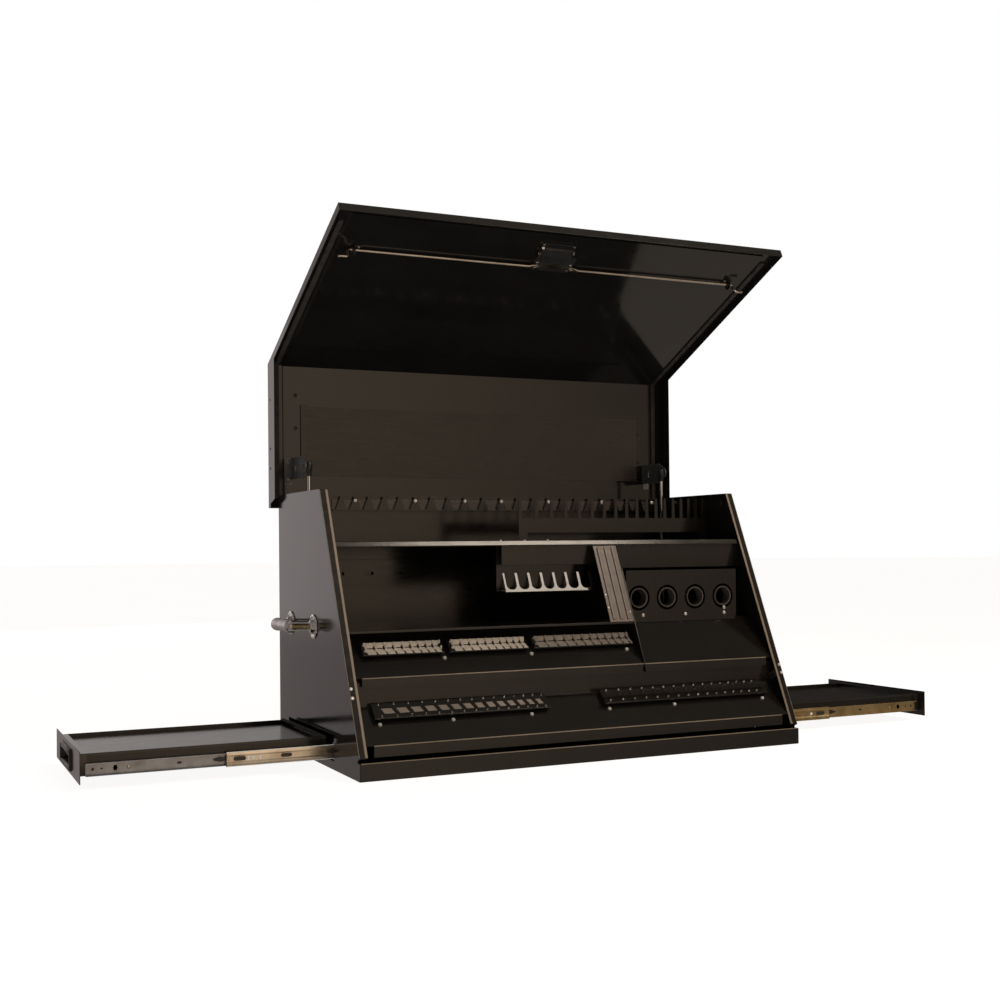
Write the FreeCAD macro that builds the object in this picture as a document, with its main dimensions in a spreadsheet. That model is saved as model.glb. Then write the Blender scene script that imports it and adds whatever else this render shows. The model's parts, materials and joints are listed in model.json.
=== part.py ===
import FreeCAD, Part
import math
import os
import Sketcher

# Slant-front portable tool chest: a welded sheet-steel case with open trays
# behind a folding lid, two side drawers on telescopic slides and a rod latch.
# Modelling coordinates: X to the viewer's right, Y to the rear (0 at the front
# plinth), Z up (0 at the base). Every sub-part is then placed so that the row
# origin is the centre of the base.

V = FreeCAD.Vector
doc = FreeCAD.newDocument("tool_chest")

# ---------------------------------------------------------------- dimensions
sheet = doc.addObject("Spreadsheet::Sheet", "Dims")
DIM = {}
ROW = [0]


class E(object):
    """A number that also carries its spreadsheet expression."""

    def __init__(self, v, x):
        self.v = float(v)
        self.x = x

    def __add__(self, o):
        return E(self.v + num(o), "(%s + %s)" % (self.x, ex(o)))

    def __radd__(self, o):
        return E(self.v + num(o), "(%s + %s)" % (ex(o), self.x))

    def __sub__(self, o):
        return E(self.v - num(o), "(%s - %s)" % (self.x, ex(o)))

    def __rsub__(self, o):
        return E(num(o) - self.v, "(%s - %s)" % (ex(o), self.x))

    def __mul__(self, o):
        return E(self.v * num(o), "(%s * %s)" % (self.x, ex(o)))

    __rmul__ = __mul__

    def __truediv__(self, o):
        return E(self.v / num(o), "(%s / %s)" % (self.x, ex(o)))

    def __neg__(self):
        return E(-self.v, "(0 - %s)" % self.x)

    def __float__(self):
        return self.v


def num(a):
    return a.v if isinstance(a, E) else float(a)


def ex(a):
    return a.x if isinstance(a, E) else ("%.6f" % a)


def dim(alias, value):
    ROW[0] += 1
    cell = "A%d" % ROW[0]
    sheet.set(cell, "%g" % value)
    sheet.setAlias(cell, alias)
    e = E(value, "Dims." + alias)
    DIM[alias] = e
    return e


# case
width = dim("case_width", 914)
depth = dim("case_depth", 495)
tall = dim("case_height", 505)
slope_y = dim("slope_top_y", 218)
plinth_z = dim("plinth_height", 31)
sheet_t = dim("case_sheet", 1.5)
flange_w = dim("side_flange_width", 16)
tray_t = dim("tray_sheet", 1.2)
tray_rise = dim("tray_slope_rise_ratio", 0.9522)
low_front_y = dim("lower_tray_front_y", 12)
low_front_z = dim("lower_tray_front_z", 58)
low_back_y = dim("lower_tray_crease_y", 74)
mid_front_y = dim("middle_tray_front_y", 66)
mid_front_z = dim("middle_tray_front_z", 168)
lip_low = dim("lower_tray_lip", 20)
lip_mid = dim("middle_tray_lip", 16)
low_lip_x = dim("lower_lip_half_length", 427)
mid_lip_x = dim("middle_lip_end_x", 429)
divider_x = dim("bay_divider_x", 143)
deep_z = dim("deep_shelf_top_z", 248)
deep_front = dim("deep_shelf_front_y", 103)
top_z = dim("upper_shelf_top_z", 407)
top_front = dim("upper_shelf_front_y", 180)
top_lip_x = dim("upper_lip_half_length", 439.5)
open_y0 = dim("drawer_opening_front_y", 141)
open_y1 = dim("drawer_opening_rear_y", 432)
open_z0 = dim("drawer_opening_low_z", 15.5)
open_z1 = dim("drawer_opening_high_z", 62.5)
# hinge and lid
hinge_y = dim("hinge_axis_y", 502)
hinge_z = dim("hinge_axis_z", 486)
pin_r = dim("hinge_pin_radius", 2.5)
bore_r = dim("hinge_bore_radius", 2.56)
knuckle_r = dim("hinge_knuckle_radius", 5.5)
knuckle_len = dim("hinge_knuckle_length", 37.6)
knuckle_pitch = dim("hinge_knuckle_pitch", 38)
leaf_t = dim("hinge_leaf_sheet", 1.2)
lid_top_z = dim("lid_top_z", 511)
lid_off = dim("lid_front_offset", 7.3)
lid_len = dim("lid_front_panel_length", 520)
lid_t = dim("lid_sheet", 1.2)
lid_hw = dim("lid_half_width", 469)
lid_skirt = dim("lid_top_skirt_depth", 47)
lid_lip = dim("lid_front_lip_depth", 15.2)
liner_hw = dim("liner_half_width", 438.5)
liner_off = dim("liner_offset", 3)
liner_t = dim("liner_sheet", 1)
rod_b = dim("latch_rod_from_fold", 406)
rod_r = dim("latch_rod_radius", 2.75)
rod_off = dim("latch_rod_offset", 9)
rod_jog = dim("latch_rod_jog", 16)
rod_tip = dim("latch_rod_tip_x", 440)
rod_in = dim("latch_rod_inner_x", 39.3)
# struts
strut_x = dim("strut_x", 413)
strut_y = dim("strut_y", 428)
strut_low = dim("strut_lower_z", 150)
strut_top = dim("strut_ball_z", 561)
strut_r = dim("strut_cylinder_radius", 9)
strut_rod = dim("strut_rod_radius", 4)
# drawers and slides
dr_near = dim("drawer_near_wall_y", 156.5)
dr_far = dim("drawer_far_wall_y", 416.5)
dr_top = dim("drawer_wall_top_z", 59.5)
dr_low = dim("drawer_wall_low_z", 21.5)
dr_floor = dim("drawer_floor_z", 53.3)
dr_len = dim("drawer_length", 425)
dr_t = dim("drawer_sheet", 1)
dr_ledge = dim("drawer_front_ledge", 12.5)
fr_y0 = dim("drawer_front_y0", 137)
fr_y1 = dim("drawer_front_y1", 463)
fr_z0 = dim("drawer_front_z0", 11.3)
fr_z1 = dim("drawer_front_z1", 65)
sl_len = dim("slide_length", 450)
left_out = dim("left_drawer_rest_extension", 434)
right_out = dim("right_drawer_rest_extension", 452)
left_mid = dim("left_intermediate_extension", 193)
right_mid = dim("right_intermediate_extension", 198)
# side handles
hd_z = dim("handle_z", 250)
hd_y0 = dim("handle_front_y", 258)
hd_y1 = dim("handle_rear_y", 408)
hd_off = dim("handle_stand_off", 36)
hd_r = dim("handle_grip_radius", 12.5)
doc.recompute()

HW = width / 2
HI = HW - sheet_t
SHIFT = -depth / 2
NODES = []


def s_y(z):
    """Y of the case's slanted front plane at height z."""
    return (z - 31.0) * 218.0 / 474.0


# ------------------------------------------------------------------ builders
def place(obj, lid=False):
    """Put the origin at the base centre; lid parts are also swung open."""
    base = FreeCAD.Placement(V(0, num(SHIFT), 0), FreeCAD.Rotation())
    if lid:
        turn = FreeCAD.Placement(V(0, 0, 0), FreeCAD.Rotation(V(1, 0, 0), -90),
                                 V(0, num(hinge_y), num(hinge_z)))
        obj.Placement = base.multiply(turn)
    else:
        obj.Placement = base
        obj.setExpression("Placement.Base.y", SHIFT.x)
    return obj


def node(obj, label, lid=False, placed=True):
    obj.Label = label
    if placed:
        place(obj, lid)
    NODES.append(obj)
    return obj


def plane_of(body, role):
    for f in body.Origin.OriginFeatures:
        if f.Role == role:
            return f
    raise RuntimeError(role)


PLANES = {"YZ": ("YZ_Plane", 1), "XZ": ("XZ_Plane", -1), "XY": ("XY_Plane", 1)}
COUNT = [0]


def new_body(name):
    return doc.addObject("PartDesign::Body", "B_" + name)


def sketch_on(body, plane, loops, start, end):
    role, sign = PLANES[plane]
    COUNT[0] += 1
    sk = body.newObject("Sketcher::SketchObject", "Sk%03d" % COUNT[0])
    sk.AttachmentSupport = [(plane_of(body, role), "")]
    sk.MapMode = "FlatFace"
    offs = start if sign > 0 else -end if isinstance(end, E) else -float(end)
    sk.AttachmentOffset = FreeCAD.Placement(V(0, 0, num(offs)), FreeCAD.Rotation())
    if isinstance(offs, E):
        sk.setExpression(".AttachmentOffset.Base.z", offs.x)
    for loop in loops:
        if loop[0] == "circle":
            _, cx, cy, r = loop
            g = sk.addGeometry(Part.Circle(V(num(cx), num(cy), 0), V(0, 0, 1), num(r)), False)
            for kind, a in (("DistanceX", cx), ("DistanceY", cy)):
                c = sk.addConstraint(Sketcher.Constraint(kind, -1, 1, g, 3, num(a)))
                if isinstance(a, E):
                    sk.setExpression("Constraints[%d]" % c, a.x)
            c = sk.addConstraint(Sketcher.Constraint("Radius", g, num(r)))
            if isinstance(r, E):
                sk.setExpression("Constraints[%d]" % c, r.x)
            continue
        n = len(loop)
        first = None
        for i in range(n):
            a, b = loop[i], loop[(i + 1) % n]
            g = sk.addGeometry(Part.LineSegment(V(num(a[0]), num(a[1]), 0),
                                                V(num(b[0]), num(b[1]), 0)), False)
            if first is None:
                first = g
        for i in range(n):
            sk.addConstraint(Sketcher.Constraint("Coincident", first + i, 2,
                                                 first + (i + 1) % n, 1))
        for i in range(n):
            for kind, a in (("DistanceX", loop[i][0]), ("DistanceY", loop[i][1])):
                c = sk.addConstraint(Sketcher.Constraint(kind, -1, 1, first + i, 1, num(a)))
                if isinstance(a, E):
                    sk.setExpression("Constraints[%d]" % c, a.x)
    return sk


def pad(body, plane, loops, start, end):
    sk = sketch_on(body, plane, loops, start, end)
    COUNT[0] += 1
    p = body.newObject("PartDesign::Pad", "Pad%03d" % COUNT[0])
    p.Profile = sk
    span = end - start
    p.Length = num(span)
    if isinstance(span, E):
        p.setExpression("Length", span.x)
    return p


def cut(body, plane, loops, start, end):
    doc.recompute()
    before = body.Shape.Volume
    sk = sketch_on(body, plane, loops, start, end)
    COUNT[0] += 1
    p = body.newObject("PartDesign::Pocket", "Cut%03d" % COUNT[0])
    p.Profile = sk
    span = end - start
    p.Length = num(span)
    if isinstance(span, E):
        p.setExpression("Length", span.x)
    p.Reversed = True
    doc.recompute()
    if not body.Shape.Volume < before - 0.5:
        raise RuntimeError("pocket cut nothing: %s %s" % (body.Label, p.Label))
    return p


def rect(a0, b0, a1, b1):
    return [(a0, b0), (a1, b0), (a1, b1), (a0, b1)]


def strip(pts, t):
    """Closed outline of a bent sheet: the open polyline offset to its left by t."""
    P = [(num(a), num(b)) for a, b in pts]
    n = len(P)
    nrm = []
    for i in range(n - 1):
        dx, dy = P[i + 1][0] - P[i][0], P[i + 1][1] - P[i][1]
        q = math.hypot(dx, dy)
        nrm.append((-dy / q, dx / q))
    out = []
    for i in range(n):
        if i == 0:
            o = nrm[0]
        elif i == n - 1:
            o = nrm[-1]
        else:
            a, b = nrm[i - 1], nrm[i]
            k = 1.0 / (1.0 + a[0] * b[0] + a[1] * b[1])
            o = ((a[0] + b[0]) * k, (a[1] + b[1]) * k)
        out.append((pts[i][0] + o[0] * t, pts[i][1] + o[1] * t))
    return list(pts) + out[::-1]


def mirrored(src, label, normal=(1, 0, 0), base=(0, 0, 0), name=None):
    m = doc.addObject("Part::Mirroring", name or "M_" + label)
    m.Source = src
    m.Normal = V(*normal)
    m.Base = V(*base)
    m.Label = label
    return m


def group(label, objs, lid=False):
    c = doc.addObject("Part::Compound", "C_" + label)
    c.Links = objs
    return node(c, label, lid)


def feature(label, shape, lid=False):
    f = doc.addObject("Part::Feature", "F_" + label)
    f.Shape = shape
    return node(f, label, lid)


def box(x0, y0, z0, x1, y1, z1):
    return Part.makeBox(num(x1) - num(x0), num(y1) - num(y0), num(z1) - num(z0),
                        V(num(x0), num(y0), num(z0)))


def cyl(p, d, r, length):
    return Part.makeCylinder(num(r), num(length), V(*[num(c) for c in p]), V(*d))


def dome(p, d, r, height):
    """A pan screw head or rivet head: spherical cap of radius r and height."""
    rs = (r * r + height * height) / (2.0 * height)
    d = V(*d)
    d.normalize()
    c = V(*p) - d * (rs - height)
    ball = Part.makeSphere(rs, c)
    keep = Part.makeCylinder(r * 1.02, height * 1.2, V(*p), d)
    return ball.common(keep)


def plate_yz(poly, x0, x1):
    w = Part.makePolygon([V(x0, a, b) for a, b in poly] + [V(x0, poly[0][0], poly[0][1])])
    return Part.Face(w).extrude(V(x1 - x0, 0, 0))


def plate_xz(poly, y0, y1):
    w = Part.makePolygon([V(a, y0, b) for a, b in poly] + [V(poly[0][0], y0, poly[0][1])])
    return Part.Face(w).extrude(V(0, y1 - y0, 0))


# --------------------------------------------------------------- case panels
NZ = 30.5            # lower corner is notched so that the lid's lip can close in
B = new_body("left_side_panel")
pad(B, "YZ", [[(0, 0), (0, NZ), (12, NZ), (11.97, 34.3), (3.34, 38.27),
               (slope_y, tall), (depth, tall), (depth, 0)]], -HW, -HI)
pad(B, "YZ", [[(3.34, 38.27), (slope_y, tall), (slope_y + 1.65, tall), (4.99, 38.27)]],
    -HW, -HW + flange_w)
pad(B, "YZ", [[(slope_y, tall), (depth, tall), (depth, tall - sheet_t),
               (slope_y - 0.69, tall - sheet_t)]], -HW, -HW + flange_w)
cut(B, "YZ", [rect(open_y0, open_z0, open_y1, open_z1)], -HW - 1, -HI + 1)
left_side = node(B, "left_side_panel")
NODES.append(mirrored(left_side, "right_side_panel"))

B = new_body("rear_panel")
pad(B, "XZ", [rect(-HI, sheet_t, HI, tall - sheet_t)], depth - sheet_t, depth)
node(B, "rear_panel")

B = new_body("base_plate")
pad(B, "XY", [rect(-HI, sheet_t, HI, depth)], 0, sheet_t)
node(B, "base_plate")

B = new_body("front_plinth")
pad(B, "YZ", [[(0, 0), (0, plinth_z), (12, plinth_z), (12, plinth_z - sheet_t),
               (sheet_t, plinth_z - sheet_t), (sheet_t, 0)]], -HI, HI)
node(B, "front_plinth")

B = new_body("drawer_bay_pan")
pad(B, "YZ", [[(142.5, sheet_t), (142.5, 49), (144, 49), (144, 13.5),
               (429, 13.5), (429, 64), (430.5, 64), (430.5, sheet_t),
               (429, sheet_t), (429, 12), (144, 12), (144, sheet_t)]],
    -HI, HI)
node(B, "drawer_bay_pan")

B = new_body("bay_partition")
pad(B, "YZ", [rect(144, 13.5, 429, 48)], -0.75, 0.75)
node(B, "bay_partition")

# --------------------------------------------------------------------- trays
# Each tray's floor runs up and back from a down-turned front lip; the floor
# reaches the side panels and the lip stops short of the side flanges.
B = new_body("lower_tray")
low_crease_z = low_front_z + (low_back_y - low_front_y) * tray_rise
pad(B, "YZ", [strip([(low_front_y, low_front_z), (low_back_y, low_crease_z),
                     (low_back_y, 160)], -num(tray_t))], -HI, HI)
cut(B, "XY", [rect(440.5, 10, 457, 16.5), rect(-457, 10, -440.5, 16.5)], 50, 66)
pad(B, "YZ", [rect(low_front_y, low_front_z - lip_low, low_front_y + tray_t,
                   low_front_z + 0.2)], -low_lip_x, low_lip_x)
node(B, "lower_tray")

B = new_body("middle_tray")
pad(B, "YZ", [strip([(mid_front_y, mid_front_z),
                     (148, mid_front_z + (148 - mid_front_y) * tray_rise)],
                    -num(tray_t))], -HI, divider_x)
pad(B, "YZ", [rect(mid_front_y, mid_front_z - lip_mid, mid_front_y + tray_t,
                   mid_front_z + 0.2)], -mid_lip_x, divider_x)
node(B, "middle_tray")

B = new_body("right_bay_floor")
pad(B, "YZ", [strip([(mid_front_y, mid_front_z), (150, deep_z),
                     (depth - sheet_t, deep_z)], -num(tray_t))],
    divider_x + sheet_t, HI)
pad(B, "YZ", [rect(mid_front_y, mid_front_z - lip_mid, mid_front_y + tray_t,
                   mid_front_z + 0.2)], divider_x + sheet_t, mid_lip_x)
cut(B, "XY", [("circle", strut_x, strut_y, 13)], deep_z - 3, deep_z + 2)
node(B, "right_bay_floor")

B = new_body("deep_shelf")
pad(B, "YZ", [[(deep_front, deep_z), (depth - sheet_t, deep_z),
               (depth - sheet_t, deep_z - sheet_t), (deep_front + 1.2, deep_z - sheet_t),
               (deep_front + 1.2, deep_z - 4.5), (deep_front, deep_z - 4.5)]], -HI, divider_x)
cut(B, "XY", [("circle", -strut_x, strut_y, 13)], deep_z - 3, deep_z + 2)
node(B, "deep_shelf")

B = new_body("bay_divider")
pad(B, "YZ", [[(57.2, 152.3), (149.1, 352), (199, 352), (199, top_z - 1.2),
               (depth - sheet_t, top_z - 1.2), (depth - sheet_t, 236), (150, 236),
               (66, 152.3)]], divider_x, divider_x + sheet_t)
cut(B, "YZ", [rect(182.0, 350.1, 184.0, 407)], 142, 146)
cut(B, "YZ", [rect(182.0, 404.2, 202.4, 407)], 142, 146)
node(B, "bay_divider")

B = new_body("divider_pillar")
PIL = [(150, 248.0), (101.5, 248.0), (169.6, 396.0), (176, 396.0)]
pad(B, "YZ", [strip(PIL, -1.5)], 90, 142)
for k in range(3):
    xr = 100 + 16 * k
    a, b = (103.5, 252.35), (167.6, 391.65)
    n_ = (-0.9085 * 2.2, 0.41786 * 2.2)
    pad(B, "YZ", [[(a[0] + 0.5, a[1]), (a[0] + n_[0], a[1] + n_[1]),
                   (b[0] + n_[0], b[1] + n_[1]), (b[0] + 0.5, b[1])]], xr - 3, xr + 3)
node(B, "divider_pillar")

B = new_body("upper_shelf")
pad(B, "YZ", [rect(top_front, top_z - 1.2, depth - sheet_t, top_z)], -HI, HI)
pad(B, "YZ", [rect(top_front, top_z - 9, top_front + 1.2, top_z - 0.6)], -top_lip_x, top_lip_x)
cut(B, "XY", [rect(strut_x - 18, 372, strut_x + 28, 470),
              rect(-strut_x - 28, 372, -strut_x + 18, 470)], top_z - 3, top_z + 2)
node(B, "upper_shelf")

B = new_body("hanger_strip")
pad(B, "XZ", [[(-104, 359.6), (112, 359.6), (112, 350.5), (HI, 350.5), (HI, 405.8),
               (-104, 405.8)]], 182.4, 183.6)
pad(B, "YZ", [rect(183.6, 404.6, 202, 405.8)], -104, HI)
node(B, "hanger_strip")

B = new_body("plier_comb")
pad(B, "YZ", [strip([(177.3, 345), (160.5, 308.5), (205, 308.5), (205, 404.6)], 1.2)], -105.7, 88)
slots = []
for k in range(7):
    x0 = -101.2 + 27.1 * k
    slots.append([(x0, 350), (x0, 320.4), (x0 + 2.6, 315.8), (x0 + 7.6, 313.4), (x0 + 13.7, 313.4),
                  (x0 + 18.7, 315.8), (x0 + 21.3, 320.4), (x0 + 21.3, 350)])
cut(B, "XZ", slots, 158, 184)
node(B, "plier_comb")


def graded(x0, first, ratio, x_end):
    xs, p = [x0], first
    while xs[-1] + p <= x_end:
        xs.append(xs[-1] + p)
        p *= ratio
    return xs


# wrench comb on the upper shelf: graduated tines, raised on two end feet
sh_z = num(top_z)
xs = graded(-13.0, 36.5, 0.955, 434.0)
poly = [(-17, 424)]
up = []
for x in xs:
    up += [(x - 4.0, 454), (x - 3.0, 493), (x - 1.0, 497), (x + 1.0, 497), (x + 3.0, 493),
           (x + 4.0, 454)]
poly += up + [(438, 454) if up[-1][0] < 438 else (438.5, 454), (438.5, 424)]
poly[1] = (-17, 454)
comb = plate_xz(poly, 284.4, 285.6)
comb = comb.fuse([box(-17, 284.4, sh_z, 3, 285.6, 424), box(418.5, 284.4, sh_z, 438.5, 285.6, 424),
                  box(-17, 285.6, sh_z, 3, 303, sh_z + 1.2),
                  box(418.5, 285.6, sh_z, 438.5, 303, sh_z + 1.2),
                  box(-17, 285.6, 424, 438.5, 300, 425.2)]).removeSplitter()
feature("wrench_comb", comb)

# screwdriver rack on the rear panel: pointed teeth in front of a backing strip
tooth_x = (-326.6, -296.5, -266.0, -233.0, -198.5, -162.6, -125.5, -87.0, -47.8, -4.0, 39.2,
           78.5, 117.0, 154.8, 189.5, 224.0, 257.5, 290.8, 324.5, 358.0, 390.5, 423.0)
poly = [(-346, 474.8), (-346, 476.5)]
for x in tooth_x:
    poly += [(x - 12.4, 476.5), (x - 1.8, 504.4), (x + 1.8, 504.4), (x + 12.4, 476.5)]
poly += [(440, 476.5), (440, 474.8)]
rack = plate_xz(poly, 486.8, 488.0)
rack = rack.fuse([box(-346, 486.8, 473.6, 440, 493.5, 474.8),
                  box(-346, 492.3, 474.8, 440, 493.5, 498)]).removeSplitter()
feature("screwdriver_rack", rack)

B = new_body("rear_rail")
pad(B, "YZ", [strip([(493.5, 372), (486, 372), (486, 318), (493.5, 318)], 1.2)], -400, 44)
cut(B, "XZ", [rect(-340 + 64 * k, 340, -322 + 64 * k, 346) for k in range(4)], 484, 489)
node(B, "rear_rail")

B = new_body("holster_plate")
pad(B, "XZ", [rect(150, 242.6, 412, 346)], 143, 144.2)
pad(B, "XY", [rect(150, 144, 412, 172)], deep_z, deep_z + 1.2)
holes = (179, 245, 311.5, 379)
for x in holes:
    pad(B, "XZ", [("circle", x, 291, 26.2)], 143.6, 165)
cut(B, "XZ", [("circle", x, 291, 25) for x in holes], 141, 167)
node(B, "holster_plate")

# ----------------------------------------------------- socket rails on trays
SL = (0.7242, 0.6896)          # along the tray floor, up and back
SN = (-0.6896, 0.7242)         # square to the tray floor, up and forward


def on_slope(front, a, n):
    return (front[0] + SL[0] * a + SN[0] * n, front[1] + SL[1] * a + SN[1] * n)


def slope_block(front, x0, x1, a0, a1, n0, n1):
    q = [on_slope(front, a0, n0), on_slope(front, a1, n0), on_slope(front, a1, n1),
         on_slope(front, a0, n1)]
    return plate_yz(q, x0, x1)


def slope_pin(front, x, a, n0, n1, r):
    p = on_slope(front, a, n0)
    return Part.makeCylinder(r, n1 - n0, V(x, p[0], p[1]), V(0, SN[0], SN[1]))


def socket_rail(front, x0, x1, a_strip, rows, top, pins, xs, slot):
    """Raised strip on two end legs, upright slotted combs and two rows of pins."""
    a0, a1 = a_strip
    parts = [slope_block(front, x0, x1, a0, a1, 9, 10.2)]
    for xa, xb in ((x0, x0 + 1.2), (x1 - 1.2, x1)):
        parts.append(slope_block(front, xa, xb, a0 + 2, a1 - 2, 0.0, 9.2))
    for a in rows:
        parts.append(slope_block(front, x0 + 0.5, x1 - 0.5, a, a + 1.2, 10, top))
    body = parts[0].fuse(parts[1:])
    gaps = []
    for x in xs[:-1]:
        i = xs.index(x)
        m = (x + xs[i + 1]) / 2.0
        for a in rows:
            gaps.append(slope_block(front, m - slot / 2, m + slot / 2, a - 1, a + 2.2,
                                    12.5, top + 1))
    if gaps:
        body = body.cut(gaps)
    posts = []
    for x in xs:
        for a in pins:
            posts.append(slope_pin(front, x, a, 10.1, 19.5, 2.0))
    if posts:
        body = body.fuse(posts)
    return body.removeSplitter()


LOW = (num(low_front_y), num(low_front_z))
MID = (num(mid_front_y), num(mid_front_z))
xs = graded(-401.0, 28.3, 0.9655, -80.0)
rail_a = socket_rail(LOW, -414, -74, (50, 84), (64.4,), 25, (57.0, 81.0), xs, 3.0)
xs = graded(56.0, 27.0, 0.972, 408.0)
rail_b = socket_rail(LOW, 43, 414, (50, 84), (64.4,), 25, (57.0, 81.0), xs, 3.0)
feature("lower_socket_rails", Part.makeCompound([rail_a, rail_b]))
xs = graded(-412.0, 19.5, 0.95, -266.0)
rail_c = socket_rail(MID, -418, -264, (44, 74), (50.0, 60.0), 17.5, (), xs, 2.4)
xs = graded(-244.0, 18.5, 0.955, -96.0)
rail_d = socket_rail(MID, -251, -92, (44, 74), (50.0, 60.0), 17.5, (), xs, 2.4)
xs = graded(-74.0, 22.0, 0.96, 130.0)
rail_e = socket_rail(MID, -80, 134, (44, 74), (50.0, 60.0), 17.5, (), xs, 2.4)
feature("middle_socket_rails", Part.makeCompound([rail_c, rail_d, rail_e]))

# -------------------------------------------------------- screws and rivets
UP = (0, 0, 1)
FW = (0, -1, 0)
heads = []
for (front, x, a) in ((LOW, -405.0, 44.0), (LOW, -267.0, 44.0), (LOW, -111.0, 44.0),
                      (LOW, 52.0, 44.0), (LOW, 196.0, 44.0), (LOW, 402.0, 44.0),
                      (MID, -262.0, 38.0), (MID, -86.0, 38.0), (MID, 120.0, 38.0)):
    p = on_slope(front, a, 0.0)
    heads.append(dome((x, p[0], p[1]), (0, SN[0], SN[1]), 4.0, 3.0))
for x in (-103.0, -52.0, -1.0):                      # on the upper shelf by its lip
    heads.append(dome((x, 190.0, sh_z), UP, 4.0, 2.2))
for x in (188.0, 288.0, 382.0):                      # on the holster plate
    heads.append(dome((x, 143.0, 256.0), FW, 4.0, 2.2))
heads.append(dome((116.0, 130.0, 249.5), UP, 4.0, 2.2))
SLN = (-0.90851, 0.41786)
for sx in (-1, 1):                                   # keeper screws on the side flanges
    for zz in (152.0, 136.7):
        heads.append(dome((sx * 453.0, s_y(zz), zz), (0, SLN[0], SLN[1]), 3.1, 1.8))
for x in (-296.5, -162.6, -47.8, 39.2, 154.8, 290.8, 423.0):   # screwdriver rack screws
    heads.append(dome((x, 486.8, 494.6), FW, 4.4, 2.4))
feature("case_screws", Part.makeCompound(heads))

# --------------------------------------------------------------- lid and hinge
# Lid parts are drawn closed, then swung 90 degrees open about the hinge pin.
UX, UZ = -0.41786, -0.90851    # down the slanted front
IX, IZ = 0.90851, -0.41786     # inwards from the slanted front


def lid_fold(off):
    """Fold corner of a skin lying off inside the lid's outer faces."""
    z = 511.0 - off
    # slanted outer plane: case plane moved outwards by the lid offset
    y = (z - 31.0) * 218.0 / 474.0 - (7.3 - off) / 0.90851
    return (y, z)


F0 = lid_fold(0.0)


def lid_pt(b, off):
    """Point on the lid's front panel: b down from the fold, off inwards."""
    return (F0[0] + UX * b + IX * off, F0[1] + UZ * b + IZ * off)


END = num(lid_len)
LIP = num(lid_lip)
T = num(lid_t)
rear_y = hinge_y + knuckle_r + leaf_t      # outer face of the lid's rear skirt
B = new_body("lid_shell")
outer = [(rear_y, hinge_z + 10), (rear_y, lid_top_z), F0, lid_pt(END, 0), lid_pt(END, LIP)]
pad(B, "YZ", [strip(outer, num(lid_t))], -lid_hw, lid_hw)
f15 = lid_pt(0, LIP)
k = (f15[1] - (511.0 - num(lid_skirt))) / 0.90851
inner = (f15[0] + UX * k, f15[1] + UZ * k)
skirt = [(rear_y, hinge_z + 10), (rear_y, lid_top_z), F0, lid_pt(END, 0), lid_pt(END, LIP),
         inner, (rear_y - 22, lid_top_z - lid_skirt), (rear_y - 14, hinge_z + 10)]
skirt[-2] = (hinge_y - 12, lid_top_z - lid_skirt)
skirt[-1] = (hinge_y - 2, hinge_z + 10)
pad(B, "YZ", [skirt], -lid_hw, -lid_hw + lid_t)
pad(B, "YZ", [skirt], lid_hw - lid_t, lid_hw)
node(B, "lid_shell", lid=True)

# inner skin, spaced off the shell by its returned edges
lo, lt = num(liner_off), num(liner_t)
fl = lid_fold(lo)
B = new_body("lid_liner")
pad(B, "YZ", [strip([(497, 511.0 - lo), fl, lid_pt(500, lo)], lt)], -liner_hw, liner_hw)
for sx in (-1, 1):
    x0, x1 = (-liner_hw, -liner_hw + 1) if sx < 0 else (liner_hw - 1, liner_hw)
    pad(B, "YZ", [strip([(497, 511.0 - T), lid_fold(T), lid_pt(500, T)], lo + lt - T)], x0, x1)
node(B, "lid_liner", lid=True)

# foam seal that closes on the case's side flanges
seals = []
for sx in (-1, 1):
    x0, x1 = sorted((sx * 447.0, sx * 456.5))
    a = [(488, 511.0 - T), lid_fold(T), lid_pt(478, T)]
    seals.append(plate_yz(strip(a, 3.2), x0, x1))
feature("lid_seal", Part.makeCompound(seals), lid=True)

# pocket panel on the lid's inner skin, held by a strip down its left side
B = new_body("lid_pocket_panel")
pad(B, "XY", [rect(-386, 298, 404, 442)], 504.6, 507)
node(B, "lid_pocket_panel", lid=True)
B = new_body("pocket_panel_strip")
pad(B, "XY", [rect(-402, 294, -386.4, 446)], 503.8, 507)
node(B, "pocket_panel_strip", lid=True)

# strut brackets: a foot on the inner skin and an ear that reaches into the case
SX, SY = num(strut_x), num(strut_y)
SZ = num(strut_top)
ear_y = 488.0 + 500.0 - SZ                 # closed Y of the lid-side ball centre
brk = []
for sx in (-1, 1):
    x0, x1 = sorted((sx * 420.0, sx * 422.0))
    zc = 427 - 15.0
    prof = [(ear_y + 22, 507), (ear_y + 22, 432), (ear_y + 13, 404), (ear_y - 13, 404),
            (ear_y - 22, 432), (ear_y - 22, 507)]
    ear = plate_yz(prof, x0, x1)
    f0, f1 = sorted((sx * 422.0, sx * 437.0))
    foot = box(f0, ear_y - 22, 505.2, f1, ear_y + 34, 507)
    stub = box(x0, ear_y - 22, 505.2, x1, ear_y + 34, 507)
    brk.append(ear.fuse([foot, stub]).removeSplitter())
feature("strut_lid_brackets", Part.makeCompound(brk), lid=True)

# latch on the lid: lock case, back plate, rod guides
B = new_body("latch_backplate")
q0, q1 = lid_pt(392, 4.0), lid_pt(437, 4.0)
q2, q3 = lid_pt(437, 5.2), lid_pt(392, 5.2)
pad(B, "YZ", [[q0, q1, q2, q3]], -44, 40)
node(B, "latch_backplate", lid=True)
B = new_body("lock_case")
pad(B, "YZ", [[lid_pt(440, 4.0), lid_pt(470, 4.0), lid_pt(470, 12.0), lid_pt(466, 16.0),
               lid_pt(444, 16.0), lid_pt(440, 12.0)]], -46, 16)
node(B, "lock_case", lid=True)


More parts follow.
